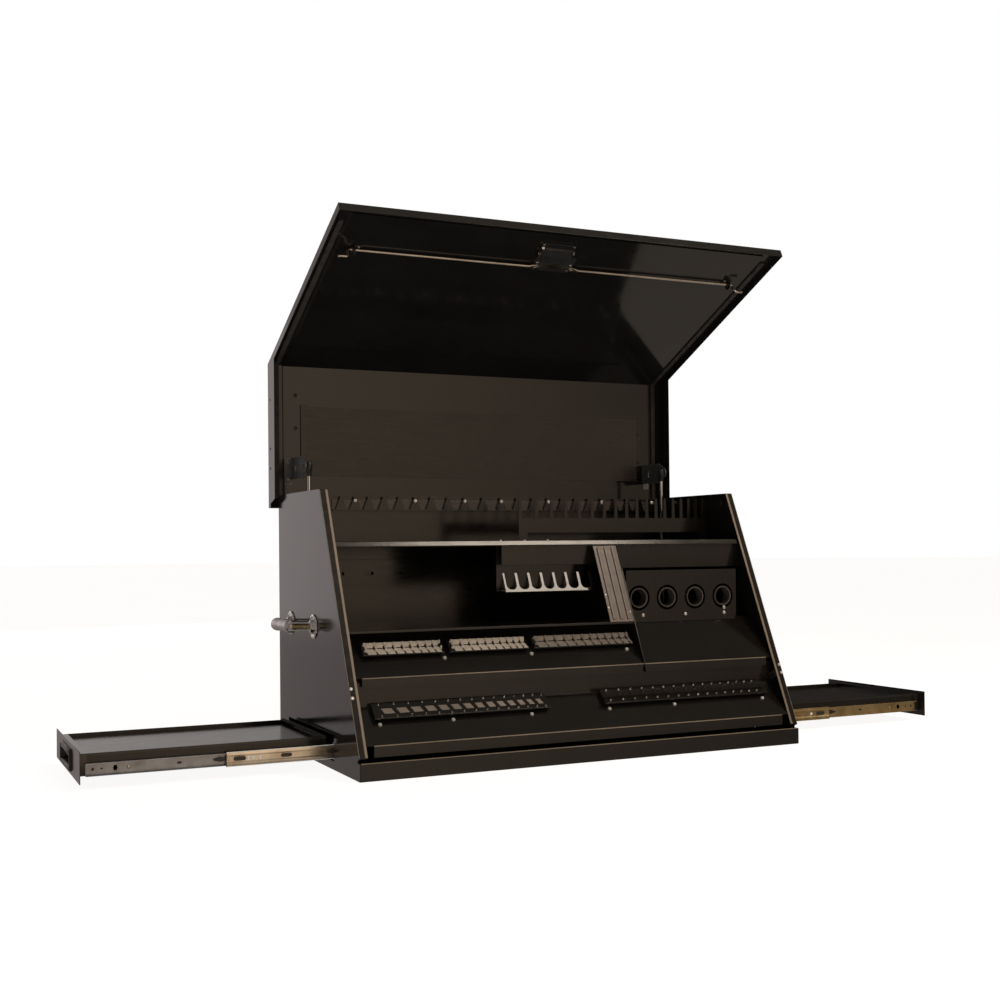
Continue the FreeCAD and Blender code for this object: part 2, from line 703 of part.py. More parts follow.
def block_lid(x0, x1, b0, b1, o0, o1):
    return plate_yz([lid_pt(b0, o0), lid_pt(b1, o0), lid_pt(b1, o1), lid_pt(b0, o1)], x0, x1)


def cyl_lid(x, b, o0, o1, r):
    p = lid_pt(b, o0)
    return Part.makeCylinder(r, o1 - o0, V(x, p[0], p[1]), V(0, IX, IZ))


RB, RO, RR = num(rod_b), num(rod_off), num(rod_r)
guides = []
for sx in (-1, 1):
    for gx in (407.0,):
        x0, x1 = sorted((sx * gx, sx * (gx + 2)))
        g = block_lid(x0, x1, RB - 9, RB + 9, 4, 14)
        f0, f1 = sorted((sx * (gx - 14), sx * gx))
        g = g.fuse(block_lid(f0, f1, RB - 9, RB + 9, 4, 5.2))
        p = lid_pt(RB, RO)
        g = g.cut(Part.makeCylinder(RR + 0.3, 40, V(x0 - 19, p[0], p[1]), V(1, 0, 0)))
        guides.append(g.removeSplitter())
feature("rod_guides", Part.makeCompound(guides), lid=True)

# turning latch: outside handle, shaft through both skins, cam under the rods
plate_hole = 6.3
shaft = cyl_lid(0, RB, -16, 6.6, 6.0)
cam = cyl_lid(0, RB, 5.5, 6.6, 11.0)
c0 = block_lid(-42.5, 42.5, RB - 5, RB + 5, 5.5, 6.6)
cam = cam.fuse(c0)
hand = block_lid(-34, 34, RB - 9, RB + 9, -24, -15)
hub = cyl_lid(0, RB, -15, -1.4, 13.0)
handle = shaft.fuse([cam, hand, hub]).removeSplitter()
e = [ed for ed in handle.Edges if abs(ed.Length - 9.0) < 0.01]
handle = handle.makeFillet(4.0, e) if e else handle
feature("latch_handle", handle, lid=True)
B = new_body("latch_escutcheon")
p0, p1 = lid_pt(RB, -1.2), lid_pt(RB, 0)
pad(B, "YZ", [[lid_pt(RB - 30, 0), lid_pt(RB - 30, -1.2), lid_pt(RB + 72, -1.2),
               lid_pt(RB + 72, 0)]], -30, 30)
node(B, "latch_escutcheon", lid=True)
feature("lock_cylinder", cyl_lid(-15, 455, -5.0, -1.2, 11.0).fuse(
    cyl_lid(-15, 455, -6.2, -5.0, 8.0)).removeSplitter(), lid=True)

# sliding rods, stepped away from the lid at their outer ends
tips = {}
for sx, nm in ((-1, "left"), (1, "right")):
    pa = lid_pt(RB, RO)
    pb = lid_pt(RB, RO + num(rod_jog))
    R = 6.0
    xa, xb = 39.3, 420.0
    P = [V(sx * (xa + 4), pa[0], pa[1]), V(sx * (xb - R), pa[0], pa[1])]
    d = V(0, pb[0] - pa[0], pb[1] - pa[1])
    d.normalize()
    m1 = V(sx * (xb - R + R * math.sin(math.radians(45))), pa[0], pa[1]) + d * (R - R * math.cos(math.radians(45)))
    e1 = V(sx * xb, pa[0], pa[1]) + d * R
    s2 = V(sx * xb, pb[0], pb[1]) - d * R
    m2 = V(sx * (xb + R - R * math.cos(math.radians(45))), pb[0], pb[1]) - d * (R - R * math.sin(math.radians(45)))
    e2 = V(sx * (xb + R), pb[0], pb[1])
    tip = V(sx * num(rod_tip), pb[0], pb[1])
    wire = Part.Wire([Part.makeLine(P[0], P[1]), Part.Arc(P[1], m1, e1).toShape(),
                      Part.makeLine(e1, s2), Part.Arc(s2, m2, e2).toShape(),
                      Part.makeLine(e2, tip)])
    prof = Part.Wire([Part.makeCircle(RR, P[0], V(sx, 0, 0))])
    tube = wire.makePipeShell([prof], True, True)
    eye = cyl_lid(sx * 39.3, RB, RO - RR + 0.9, RO + RR - 0.9, 6.5)
    feature(nm + "_latch_rod", tube.fuse(eye).removeSplitter(), lid=True)

# hinge: leaves with alternating knuckles on one long pin
B = new_body("hinge_case_leaf")
HY, HZ = hinge_y, hinge_z
pad(B, "YZ", [rect(depth, 455, depth + leaf_t, HZ)], -437, 437)
n_low = 12
x_first = -437.0 + 0.2


def knuckles(body, first, count, web):
    doc.recompute()
    p = pad(body, "YZ", [web], first, first + knuckle_len)
    doc.recompute()
    lp = body.newObject("PartDesign::LinearPattern", "Lin%s" % body.Name)
    lp.Originals = [p]
    lp.Direction = (plane_of(body, "X_Axis"), [""])
    lp.Length = 2 * num(knuckle_pitch) * (count - 1)
    lp.setExpression("Length", "2 * Dims.hinge_knuckle_pitch * %d" % (count - 1))
    lp.Occurrences = count
    body.Tip = lp
    doc.recompute()
    return lp


web = [(num(depth), 478), (num(depth), num(HZ)), (num(HY) - 4.4, num(HZ) + 1.2),
       (num(HY) - 3.2, num(HZ) - 3.6)]
knuckles(B, x_first, n_low, web)
case_leaf = B
rings = []
for k in range(n_low):
    x0 = x_first + 76 * k
    rings.append(cyl((x0, HY, HZ), (1, 0, 0), knuckle_r, knuckle_len))
case_web = B
doc.recompute()
leaf_shape = B.Shape.copy()
leaf_shape.Placement = FreeCAD.Placement()
leaf_shape = leaf_shape.fuse(rings).cut(cyl((-460, HY, HZ), (1, 0, 0), bore_r, 920)).removeSplitter()
B.Label = "hinge_case_leaf_blank"
f = doc.addObject("Part::Feature", "F_hinge_case_leaf")
f.Shape = leaf_shape
node(f, "hinge_case_leaf")

B = new_body("hinge_lid_leaf")
pad(B, "YZ", [rect(HY + knuckle_r - leaf_t, HZ, HY + knuckle_r, HZ + 22)], -437, 437)
web = [(num(HY) + 5.5, num(HZ) + 9), (num(HY) + 5.5, num(HZ) - 1), (num(HY) + 3.0, num(HZ) - 1),
       (num(HY) + 3.0, num(HZ) + 4.6), (num(HY) + 4.3, num(HZ) + 9)]
doc.recompute()
lid_blank = B
leaf_plate = B.Shape.copy()
leaf_plate.Placement = FreeCAD.Placement()
B.Label = "hinge_lid_leaf_blank"
# the plate is relieved beside the case knuckles and rolled at its own
relief = []
rings = []
for k in range(n_low):
    x0 = x_first + 76 * k
    relief.append(box(x0 - 0.2, num(HY) - 8, num(HZ) - 8, x0 + 37.8, num(HY) + 8, num(HZ) + 7.0))
for k in range(n_low - 1):
    x0 = x_first + 38 + 76 * k
    rings.append(cyl((x0, HY, HZ), (1, 0, 0), knuckle_r, knuckle_len))
lid_leaf = leaf_plate.cut(relief).fuse(rings).cut(
    cyl((-460, HY, HZ), (1, 0, 0), bore_r, 920)).removeSplitter()
f = doc.addObject("Part::Feature", "F_hinge_lid_leaf")
f.Shape = lid_leaf
node(f, "hinge_lid_leaf", lid=True)

pin = doc.addObject("Part::Cylinder", "P_hinge_pin")
pin.Radius = num(pin_r)
pin.setExpression("Radius", pin_r.x)
pin.Height = 876
pin.Placement = FreeCAD.Placement(V(-438, num(HY), num(HZ)), FreeCAD.Rotation(V(0, 1, 0), 90))
group("hinge_pin", [pin])

# ---------------------------------------------------------------- gas struts
low_b, cyls = [], []
for sx, nm in ((-1, "left"), (1, "right")):
    z0 = num(strut_low)
    c = cyl((sx * SX, SY, z0 + 12), UP, strut_r, 218).fuse(
        cyl((sx * SX, SY, z0 - 2), UP, 4.0, 16)).fuse(
        box(sx * SX - 5, SY - 7, z0 - 8, sx * SX + 5, SY + 7, z0 + 6))
    c = c.fuse(cyl((sx * SX, SY, z0 + 230), UP, 8.0, 5))
    c = c.cut(cyl((sx * SX, SY, z0 + 40), UP, num(strut_rod) + 0.08, 250)).removeSplitter()
    cyls.append(c)
    zb = SZ
    r = cyl((sx * SX, SY, z0 + 200), UP, strut_rod, zb - 6 - (z0 + 200))
    sock = box(sx * SX - 4.5, SY - 7, zb - 12, sx * SX + 4.5, SY + 7, zb + 8)
    stud0 = sx * SX if sx > 0 else -SX - 6.6
    stud = cyl((stud0, SY, zb), (1, 0, 0), 4.0, 6.6)
    feature(nm + "_strut_rod", r.fuse([sock, stud]).removeSplitter())
    bx0, bx1 = sorted((sx * num(HI), sx * (num(HI) - 2)))
    plate = box(bx0, SY - 20, z0 - 22, bx1, SY + 20, z0 + 18)
    s0 = sx * (SX + 5) if sx > 0 else -num(HI) + 1
    st = cyl((s0, SY, z0), (1, 0, 0), 4.0, num(HI) - 1 - SX - 5)
    low_b.append(plate.fuse(st).removeSplitter())
feature("strut_cylinders", Part.makeCompound(cyls))
feature("strut_lower_brackets", Part.makeCompound(low_b))

# keepers that the latch rods enter, behind the side flanges
kp = []
po = lid_pt(RB, RO + num(rod_jog))
for sx in (-1, 1):
    f0, f1 = sorted((sx * 443.0, sx * 455.5))
    foot = plate_yz([lid_pt(RB - 20, 8.85), lid_pt(RB + 12, 8.85), lid_pt(RB + 12, 10.3),
                     lid_pt(RB - 20, 10.3)], f0, f1)
    e0, e1 = sorted((sx * 443.0, sx * 444.5))
    ear = plate_yz([lid_pt(RB - 7, 10.0), lid_pt(RB + 7, 10.0), lid_pt(RB + 7, 30.3),
                    lid_pt(RB - 7, 30.3)], e0, e1)
    kk = foot.fuse(ear).cut(Part.makeCylinder(RR + 1.4, 30, V(e0 - 15, po[0], po[1]), V(1, 0, 0)))
    kp.append(kk.removeSplitter())
feature("rod_keepers", Part.makeCompound(kp))

# -------------------------------------------------- drawers and their slides
MIDY = (num(dr_near) + num(dr_far)) / 2.0


def mirror_y(src, tag):
    m = doc.addObject("Part::Mirroring", "MY_" + tag)
    m.Source = src
    m.Normal = V(0, 1, 0)
    m.Base = V(0, MIDY, 0)
    return m


CASE_MEMBERS = []


def slide_parts(side, sign, ext, mid_ext):
    """Telescopic pair: case, intermediate and drawer members, C in C in C."""
    def span(front, length):
        a = front
        b = front - length if sign > 0 else front + length
        return (b, a) if num(a) > num(b) else (a, b)

    face = HI - 0.5 if sign > 0 else -HI + 0.5
    near = num(dr_near)
    # case member: web against the bay wall, lips turned towards the drawer
    B = new_body(side + "_case_member")
    a, b = span(face, sl_len)
    pad(B, "YZ", [[(144, 17.5), (near - 1.4, 17.5), (near - 1.4, 18.7), (145.2, 18.7),
                   (145.2, 46.8), (near - 1.4, 46.8), (near - 1.4, 48), (144, 48)]], a, b)
    CASE_MEMBERS.extend([B, mirror_y(B, side + "_case")])
    # intermediate member: nested inside, carrying the ball tracks
    B = new_body(side + "_intermediate_member")
    front = face + mid_ext if sign > 0 else face - mid_ext
    a, b = span(front, sl_len - 10)
    pad(B, "YZ", [[(146.2, 19.5), (near - 1.4, 19.5), (near - 1.4, 20.7), (147.4, 20.7),
                   (147.4, 44.8), (near - 1.4, 44.8), (near - 1.4, 46), (146.2, 46)]], a, b)
    group(side + "_slide_intermediates", [B, mirror_y(B, side + "_mid")])
    # drawer member: web on the drawer wall
    B = new_body(side + "_drawer_member")
    front = face + ext - 8 if sign > 0 else face - ext + 8
    a, b = span(front, sl_len - 20)
    pad(B, "YZ", [[(148.4, 21.5), (near, 21.5), (near, 44), (148.4, 44), (148.4, 42.8),
                   (near - 1.2, 42.8), (near - 1.2, 22.7), (148.4, 22.7)]], a, b)
    group(side + "_slide_drawer_members", [B, mirror_y(B, side + "_drw")])
    # drawer tray, front and pull
    B = new_body(side + "_drawer_tray")
    fin = HW + 0.5 + ext if sign > 0 else -HW - 0.5 - ext      # inner face of the front
    wall = fin - dr_ledge if sign > 0 else fin + dr_ledge      # where the side walls begin
    a, b = span(wall, dr_len - dr_ledge)
    pad(B, "YZ", [[(dr_near, dr_low), (dr_near + dr_t, dr_low), (dr_near + dr_t, dr_floor - 1),
                   (dr_far - dr_t, dr_floor - 1), (dr_far - dr_t, dr_low), (dr_far, dr_low),
                   (dr_far, dr_top), (dr_far - dr_t, dr_top), (dr_far - dr_t, dr_floor),
                   (dr_near + dr_t, dr_floor), (dr_near + dr_t, dr_top), (dr_near, dr_top)]],
        a, b)
    e0, e1 = (a, a + 1) if sign > 0 else (b - 1, b)
    pad(B, "YZ", [rect(dr_near + 0.5, dr_floor - 0.5, dr_far - 0.5, dr_top)], e0, e1)
    # front wall of the tray, folded over as a ledge and down against the front
    g0, g1 = (wall - 0.5, wall + 0.5) if sign > 0 else (wall - 0.5, wall + 0.5)
    pad(B, "YZ", [rect(dr_near, dr_floor - 1, dr_far, dr_top)], g0, g1)
    g0, g1 = (wall, fin) if sign > 0 else (fin, wall)
    pad(B, "YZ", [rect(dr_near, dr_top - 1, dr_far, dr_top)], g0, g1)
    g0, g1 = (fin - 1, fin) if sign > 0 else (fin, fin + 1)
    pad(B, "YZ", [rect(dr_near, 38, dr_far, dr_top)], g0, g1)
    node(B, side + "_drawer_tray")
    B = new_body(side + "_drawer_front")
    f0, f1 = (fin, fin + 1.2) if sign > 0 else (fin - 1.2, fin)
    pad(B, "YZ", [rect(fr_y0, fr_z0, fr_y1, fr_z1)], f0, f1)
    # the front is cut away behind the finger cup
    doc.recompute()
    cut(B, "YZ", [[(248.8, 20.6), (377.5, 20.6), (377.5, 46), (372, 51.2), (254.3, 51.2), (248.8, 46)]],
        f0 - 1, f1 + 1)
    node(B, side + "_drawer_front")
    return fin


fin_left = slide_parts("left", -1, left_out, left_mid)
fin_right = slide_parts("right", 1, right_out, right_mid)
group("slide_case_members", CASE_MEMBERS)


def finger_cup(fin, sign):
    """Moulded finger pull: a shallow dished shell with a rim on the front."""
    x_face = fin + sign * 1.2            # outer face of the drawer front
    rim_o = [(244.5, 18.5), (249.8, 16.5), (376.5, 16.5), (381.8, 18.5), (381.8, 48), (374.3, 55.4), (252, 55.4), (244.5, 48)]
    rim_i = [(252, 23.8), (374.3, 23.8), (374.3, 43.8), (368, 49.1), (258.3, 49.1), (252, 43.8)]
    x0, x1 = sorted((x_face, x_face + sign * 4.0))
    rim = plate_yz(rim_o, x0, x1).cut(plate_yz(rim_i, x0 - 1, x1 + 1))
    # the dish reaches through the front into the gap ahead of the tray
    y0, y1 = sorted((x_face - sign * 1.2, x_face + sign * 4.0))
    wall_o = [(249.8, 21.7), (376.5, 21.7), (376.5, 45.4), (370.1, 50.7), (256.2, 50.7), (249.8, 45.4)]
    wall = plate_yz(wall_o, y0, y1).cut(plate_yz(rim_i, y0 - 1, y1 + 1))
    b0, b1 = sorted((x_face - sign * 1.2, x_face + sign * 0.0))
    back = plate_yz(wall_o, b0, b1)
    return rim.fuse([wall, back]).removeSplitter()


feature("left_drawer_pull", finger_cup(num(fin_left), -1))
feature("right_drawer_pull", finger_cup(num(fin_right), 1))

# --------------------------------------------------------- side carry handles
flanges, bars, grips = [], [], []
for sx in (-1, 1):
    face = sx * num(HW)
    d = (sx, 0, 0)
    disc = []
    for y in (num(hd_y0), num(hd_y1)):
        r = Part.makeCylinder(23, 3, V(face, y, num(hd_z)), V(*d))
        c = Part.makeCone(14, 9, 6, V(face + sx * 3, y, num(hd_z)), V(*d))
        disc.append(r.fuse(c).removeSplitter())
    arms = []
    xg = face + sx * num(hd_off)
    path = [V(face + sx * 2, num(hd_y0), num(hd_z)), V(xg, num(hd_y0) + 24, num(hd_z)),
            V(xg, num(hd_y1) - 20, num(hd_z)), V(face + sx * 2, num(hd_y1), num(hd_z))]
    bar = None
    for a, b in zip(path[:-1], path[1:]):
        seg = Part.makeCylinder(6.0, (b - a).Length, a, b - a)
        bar = seg if bar is None else bar.fuse(seg)
    bar = bar.fuse([Part.makeSphere(6.0, p) for p in path[1:3]])
    keep = Part.makeBox(60, 260, 60, V(min(face, face + sx * 60), 200, num(hd_z) - 30))
    bar = bar.common(keep)
    for y in (num(hd_y0), num(hd_y1)):
        bar = bar.cut(Part.makeCylinder(23.05, 3.0, V(face, y, num(hd_z)), V(*d)))
    grip = Part.makeCylinder(num(hd_r), num(hd_y1) - num(hd_y0) - 56,
                             V(xg, num(hd_y0) + 30, num(hd_z)), V(0, 1, 0))
    grip = grip.cut(Part.makeCylinder(6.05, 200, V(xg, 230, num(hd_z)), V(0, 1, 0)))
    disc = [q.cut(bar) for q in disc]
    flanges.extend(disc)
    bars.append(bar.removeSplitter())
    grips.append(grip)
feature("handle_flanges", Part.makeCompound(flanges))
feature("handle_bars", Part.makeCompound(bars))
feature("handle_grips", Part.makeCompound(grips))

# lid rivets and the small fittings on the inner skin
rv = []
for x, zc in ((-412.0, 713.0), (-412.0, 645.0), (-412.0, 579.0), (409.0, 655.0), (409.0, 590.0)):
    rv.append(dome((x, 988.0 - zc, 507.0), (0, 0, -1), 3.4, 1.6))
for b in (479.0, 451.0, 423.0):
    p = lid_pt(b, 9.0)
    rv.append(dome((467.8, p[0], p[1]), (-1, 0, 0), 3.2, 1.6))
feature("lid_rivets", Part.makeCompound(rv), lid=True)

# ---------------------------------------------------------------- the output
doc.recompute()
# the latch shaft's clearance holes
for obj in list(NODES):
    if obj.Label in ("lid_shell", "lid_liner", "latch_backplate", "latch_escutcheon"):
        hole = cyl_lid(0, RB, -20, 12, plate_hole)
        lock_hole = cyl_lid(-15, 455, -20, 12, 8.2)
        raw = obj.Shape.copy()
        raw.Placement = FreeCAD.Placement()
        tools = [hole]
        f = doc.addObject("Part::Feature", "H_" + obj.Label)
        f.Shape = raw.cut(tools).removeSplitter()
        label = obj.Label
        i = NODES.index(obj)
        obj.Label = label + "_blank"
        f.Label = label
        place(f, lid=True)
        NODES[i] = f
doc.recompute()

os.makedirs("parts", exist_ok=True)
bad = []
for o in doc.Objects:
    st = [s for s in o.State if s in ("Invalid", "Error")]
    if st:
        bad.append((o.Name, o.Label, st))
for o in NODES:
    s = o.Shape
    if s.isNull() or not s.isValid() or not s.Solids:
        bad.append((o.Label, "shape"))
if bad:
    for b in bad:
        print("BAD", b)
    raise SystemExit(1)
seen = set()
for o in NODES:
    if o.Label in seen:
        raise RuntimeError("label used twice: " + o.Label)
    seen.add(o.Label)
    o.Shape.exportStep("parts/%s.step" % o.Label)
print("nodes", len(NODES))
for o in NODES:
    bb = o.Shape.BoundBox
    print("%-30s %2d solids  X %8.1f %8.1f  Y %8.1f %8.1f  Z %8.1f %8.1f" % (
        o.Label, len(o.Shape.Solids), bb.XMin, bb.XMax, bb.YMin, bb.YMax, bb.ZMin, bb.ZMax))
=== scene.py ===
import bpy, bmesh, json, math, random
import numpy as np
from mathutils import Vector, Matrix


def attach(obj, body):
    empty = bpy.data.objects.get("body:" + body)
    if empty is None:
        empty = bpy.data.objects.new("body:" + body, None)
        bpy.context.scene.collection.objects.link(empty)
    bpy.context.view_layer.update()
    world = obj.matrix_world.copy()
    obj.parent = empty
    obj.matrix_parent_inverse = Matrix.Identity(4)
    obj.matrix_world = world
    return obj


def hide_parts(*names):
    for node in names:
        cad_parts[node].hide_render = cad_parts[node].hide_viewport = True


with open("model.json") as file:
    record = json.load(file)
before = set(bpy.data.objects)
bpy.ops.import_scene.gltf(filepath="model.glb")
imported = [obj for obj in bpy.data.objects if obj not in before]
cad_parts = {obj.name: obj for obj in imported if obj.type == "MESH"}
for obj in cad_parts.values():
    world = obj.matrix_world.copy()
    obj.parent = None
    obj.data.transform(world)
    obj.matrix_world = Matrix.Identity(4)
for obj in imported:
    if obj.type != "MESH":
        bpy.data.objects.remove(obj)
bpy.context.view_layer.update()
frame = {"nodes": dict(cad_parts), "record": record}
NODES = frame["nodes"]
SC = bpy.context.scene
rnd = random.Random(11)

# ---------------------------------------------------------------- frame of the object
Y0 = 0.2475                      # half the depth: part drawings measure y from the front edge
SY, SZ = 0.41786, 0.90851        # the front slope's direction, rearwards and up


def P(x, y, z):
    """A point given in millimetres, y from the front edge of the base."""
    return Vector((x / 1000.0, y / 1000.0 - Y0, z / 1000.0))


FOLD = ((511.0 - 31.0) * 218.0 / 474.0 - 7.3 / SZ, 511.0)


def L(x, b, off):
    """A point of the open lid: b along its front panel from the fold, off outwards."""
    y = FOLD[0] - SY * b + SZ * off
    z = FOLD[1] - SZ * b - SY * off
    return P(x, z + 16.0, 988.0 - y)


def LC(x, y, z):
    """A point of the open lid given where it is when the lid is closed."""
    return P(x, z + 16.0, 988.0 - y)


# ---------------------------------------------------------------- camera
yaw, pitch, roll = 0.4373733768535386, 0.01038137333941194, -0.009741112052996107
fwd = Vector((math.sin(yaw) * math.cos(pitch), math.cos(yaw) * math.cos(pitch), math.sin(pitch)))
rgt = Vector((math.cos(yaw), -math.sin(yaw), 0.0))
up = rgt.cross(fwd)
r2 = rgt * math.cos(roll) + up * math.sin(roll)
u2 = up * math.cos(roll) - rgt * math.sin(roll)
cam_data = bpy.data.cameras.new("camera")
cam_data.sensor_fit = "HORIZONTAL"
cam_data.sensor_width = 36.0
cam_data.lens = 1298.6337 * 36.0 / 1000.0
cam_data.shift_y = 0.035
cam_data.clip_start, cam_data.clip_end = 0.05, 60.0
cam = bpy.data.objects.new("camera", cam_data)
SC.collection.objects.link(cam)
m = Matrix((r2, u2, -fwd)).transposed().to_4x4()
m.translation = Vector((-1.1678, -2.3339, 0.3923))
cam.matrix_world = m
SC.camera = cam

# ---------------------------------------------------------------- materials


def mat(name):
    mt = bpy.data.materials.new(name)
    mt.use_nodes = True
    nt = mt.node_tree
    for n in list(nt.nodes):
        nt.nodes.remove(n)
    out = nt.nodes.new("ShaderNodeOutputMaterial")
    bs = nt.nodes.new("ShaderNodeBsdfPrincipled")
    nt.links.new(bs.outputs[0], out.inputs[0])
    return mt, nt, bs


def nd(nt, kind, **kw):
    n = nt.nodes.new(kind)
    for k, v in kw.items():
        if k in n.bl_rna.properties:
            setattr(n, k, v)
        else:
            n.inputs[k.replace("_", " ")].default_value = v
    return n


def coords(nt, sc=(1, 1, 1)):
    g = nt.nodes.new("ShaderNodeTexCoord")
    mp = nt.nodes.new("ShaderNodeMapping")
    mp.inputs["Scale"].default_value = sc
    nt.links.new(g.outputs["Object"], mp.inputs["Vector"])
    return mp.outputs[0]


def noise(nt, vec, scale, detail=3.0, rough=0.55, lo=None, hi=None, a=0.0, b=1.0):
    n = nd(nt, "ShaderNodeTexNoise")
    n.inputs["Scale"].default_value = scale
    n.inputs["Detail"].default_value = detail
    n.inputs["Roughness"].default_value = rough
    nt.links.new(vec, n.inputs["Vector"])
    if lo is None:
        return n.outputs["Fac"]
    r = nd(nt, "ShaderNodeMapRange")
    r.inputs["From Min"].default_value = lo
    r.inputs["From Max"].default_value = hi
    r.inputs["To Min"].default_value = a
    r.inputs["To Max"].default_value = b
    nt.links.new(n.outputs["Fac"], r.inputs["Value"])
    return r.outputs[0]


def ramp(nt, fac, stops):
    r = nt.nodes.new("ShaderNodeValToRGB")
    els = r.color_ramp.elements
    while len(els) < len(stops):
        els.new(0.5)
    for e, (p, c) in zip(els, stops):
        e.position = p
        e.color = (*c, 1.0)
    nt.links.new(fac, r.inputs[0])
    return r.outputs[0]


def math_n(nt, op, a, b=None, clamp=False):
    n = nt.nodes.new("ShaderNodeMath")
    n.operation = op
    n.use_clamp = clamp
    for i, v in enumerate((a, b)):
        if v is None:
            continue
        if isinstance(v, (int, float)):
            n.inputs[i].default_value = v
        else:
            nt.links.new(v, n.inputs[i])
    return n.outputs[0]


def bump(nt, bs, h, strength, dist, extra=None):
    b = nt.nodes.new("ShaderNodeBump")
    b.inputs["Strength"].default_value = strength
    b.inputs["Distance"].default_value = dist
    nt.links.new(h, b.inputs["Height"])
    if extra is not None:
        b2 = nt.nodes.new("ShaderNodeBump")
        b2.inputs["Strength"].default_value = extra[1]
        b2.inputs["Distance"].default_value = extra[2]
        nt.links.new(extra[0], b2.inputs["Height"])
        nt.links.new(b.outputs[0], b2.inputs["Normal"])
        b = b2
    nt.links.new(b.outputs[0], bs.inputs["Normal"])


def powder(name, base, rough, grain, grain_k, peel_k, coat=0.0, dust=0.35):
    """Powder-coated sheet: base colour with slight mottling, orange peel, fine grain, dust and rub marks."""
    mt, nt, bs = mat(name)
    v = coords(nt)
    mott = noise(nt, v, 9.0, 4.0, 0.6)
    c = ramp(nt, mott, [(0.30, tuple(k * 0.82 for k in base)), (0.72, tuple(k * 1.22 for k in base))])
    fine = noise(nt, v, 260.0, 3.0, 0.6, 0.52, 0.78, 0.0, dust)
    broad = noise(nt, v, 5.5, 3.0, 0.5, 0.38, 0.70, 0.0, 1.0)
    dfac = math_n(nt, "MULTIPLY", fine, broad, True)
    mx = nt.nodes.new("ShaderNodeMix")
    mx.data_type = "RGBA"
    nt.links.new(dfac, mx.inputs[0])
    nt.links.new(c, mx.inputs[6])
    mx.inputs[7].default_value = (0.10, 0.085, 0.07, 1.0)
    nt.links.new(mx.outputs[2], bs.inputs["Base Color"])
    # streaky rub marks change the roughness
    sv = coords(nt, (3.0, 26.0, 26.0))
    rub = noise(nt, sv, 7.0, 5.0, 0.65, 0.35, 0.75, -0.045, 0.075)
    rr = math_n(nt, "ADD", rub, rough)
    rr2 = math_n(nt, "ADD", rr, math_n(nt, "MULTIPLY", dfac, 0.35), True)
    nt.links.new(rr2, bs.inputs["Roughness"])
    bs.inputs["Specular IOR Level"].default_value = 0.5
    if coat:
        bs.inputs["Coat Weight"].default_value = coat
        bs.inputs["Coat Roughness"].default_value = 0.06
    g = noise(nt, v, grain, 3.0, 0.7)
    p = noise(nt, v, 95.0, 2.0, 0.5)
    bump(nt, bs, p, peel_k, 0.0010, (g, grain_k, 0.00035))
    return mt


def metal(name, base, rough, brush=(1, 1, 1), brush_scale=900.0, spread=0.10, stain=None, bump_k=0.10):
    """Plated steel: plating variation, fine brushing or roll marks, small stains."""
    mt, nt, bs = mat(name)
    v = coords(nt)
    bs.inputs["Metallic"].default_value = 1.0
    mott = noise(nt, v, 34.0, 4.0, 0.6)
    hi = tuple(min(1.0, k * 1.10) for k in base)
    lo = stain or tuple(k * 0.72 for k in base)
    nt.links.new(ramp(nt, mott, [(0.28, lo), (0.62, hi)]), bs.inputs["Base Color"])
    sv = coords(nt, brush)
    st = noise(nt, sv, brush_scale, 3.0, 0.6)
    spots = noise(nt, v, 60.0, 3.0, 0.6, 0.35, 0.75, 0.0, spread)
    rr = math_n(nt, "ADD", spots, rough)
    rr2 = math_n(nt, "ADD", rr, math_n(nt, "MULTIPLY", st, spread * 0.6), True)
    nt.links.new(rr2, bs.inputs["Roughness"])
    bump(nt, bs, st, bump_k, 0.0003)
    return mt


M = {}
M["paint"] = powder("powder_black", (0.0090, 0.0078, 0.0068), 0.15, 900.0, 0.06, 0.03, dust=0.10)
# lighter, mauve-tinted copy of the black powder for the side panels and drawer fronts: a painted sheen of the light
# they face
M["paint_side"] = powder("powder_black_side_painted_sheen", (0.0110, 0.0094, 0.0086), 0.12, 900.0, 0.06, 0.03, dust=0.08)
M["paint_gloss"] = powder("powder_black_gloss", (0.0070, 0.0062, 0.0056), 0.09, 900.0, 0.03, 0.02, dust=0.05)
# grained powder for the lid pocket panel; its grain and roughness are the finish, its warmer, lighter brown base is a
# painted sheen
M["paint_grain"] = powder("powder_black_grained_painted_sheen", (0.0150, 0.0110, 0.0080), 0.30, 620.0, 0.38, 0.06, dust=0.10)
M["chrome"] = metal("chrome_plate", (0.78, 0.76, 0.73), 0.07, spread=0.06, bump_k=0.03, stain=(0.62, 0.59, 0.55))
M["zinc"] = metal("zinc_plate", (0.66, 0.64, 0.60), 0.26, (1, 12, 12), 60.0, 0.12, (0.46, 0.44, 0.40), 0.12)
M["slide_silver"] = metal("slide_zinc_clear", (0.70, 0.66, 0.58), 0.24, (0.4, 14, 14), 70.0, 0.14, (0.50, 0.46, 0.38), 0.14)
M["slide_gold"] = metal("slide_zinc_yellow", (0.62, 0.50, 0.29), 0.27, (0.4, 14, 14), 70.0, 0.14, (0.45, 0.33, 0.16), 0.14)
M["rail"] = metal("rail_polished", (0.55, 0.53, 0.50), 0.20, (0.5, 10, 10), 60.0, 0.10, (0.36, 0.34, 0.31), 0.10)

mt, nt, bs = mat("moulded_black")
v = coords(nt)
nt.links.new(ramp(nt, noise(nt, v, 40.0, 3.0), [(0.3, (0.010, 0.0098, 0.0095)), (0.7, (0.020, 0.019, 0.018))]), bs.inputs["Base Color"])
nt.links.new(noise(nt, v, 25.0, 3.0, 0.5, 0.3, 0.7, 0.30, 0.42), bs.inputs["Roughness"])
bump(nt, bs, noise(nt, v, 1500.0, 2.0), 0.20, 0.0003)
M["plastic"] = mt

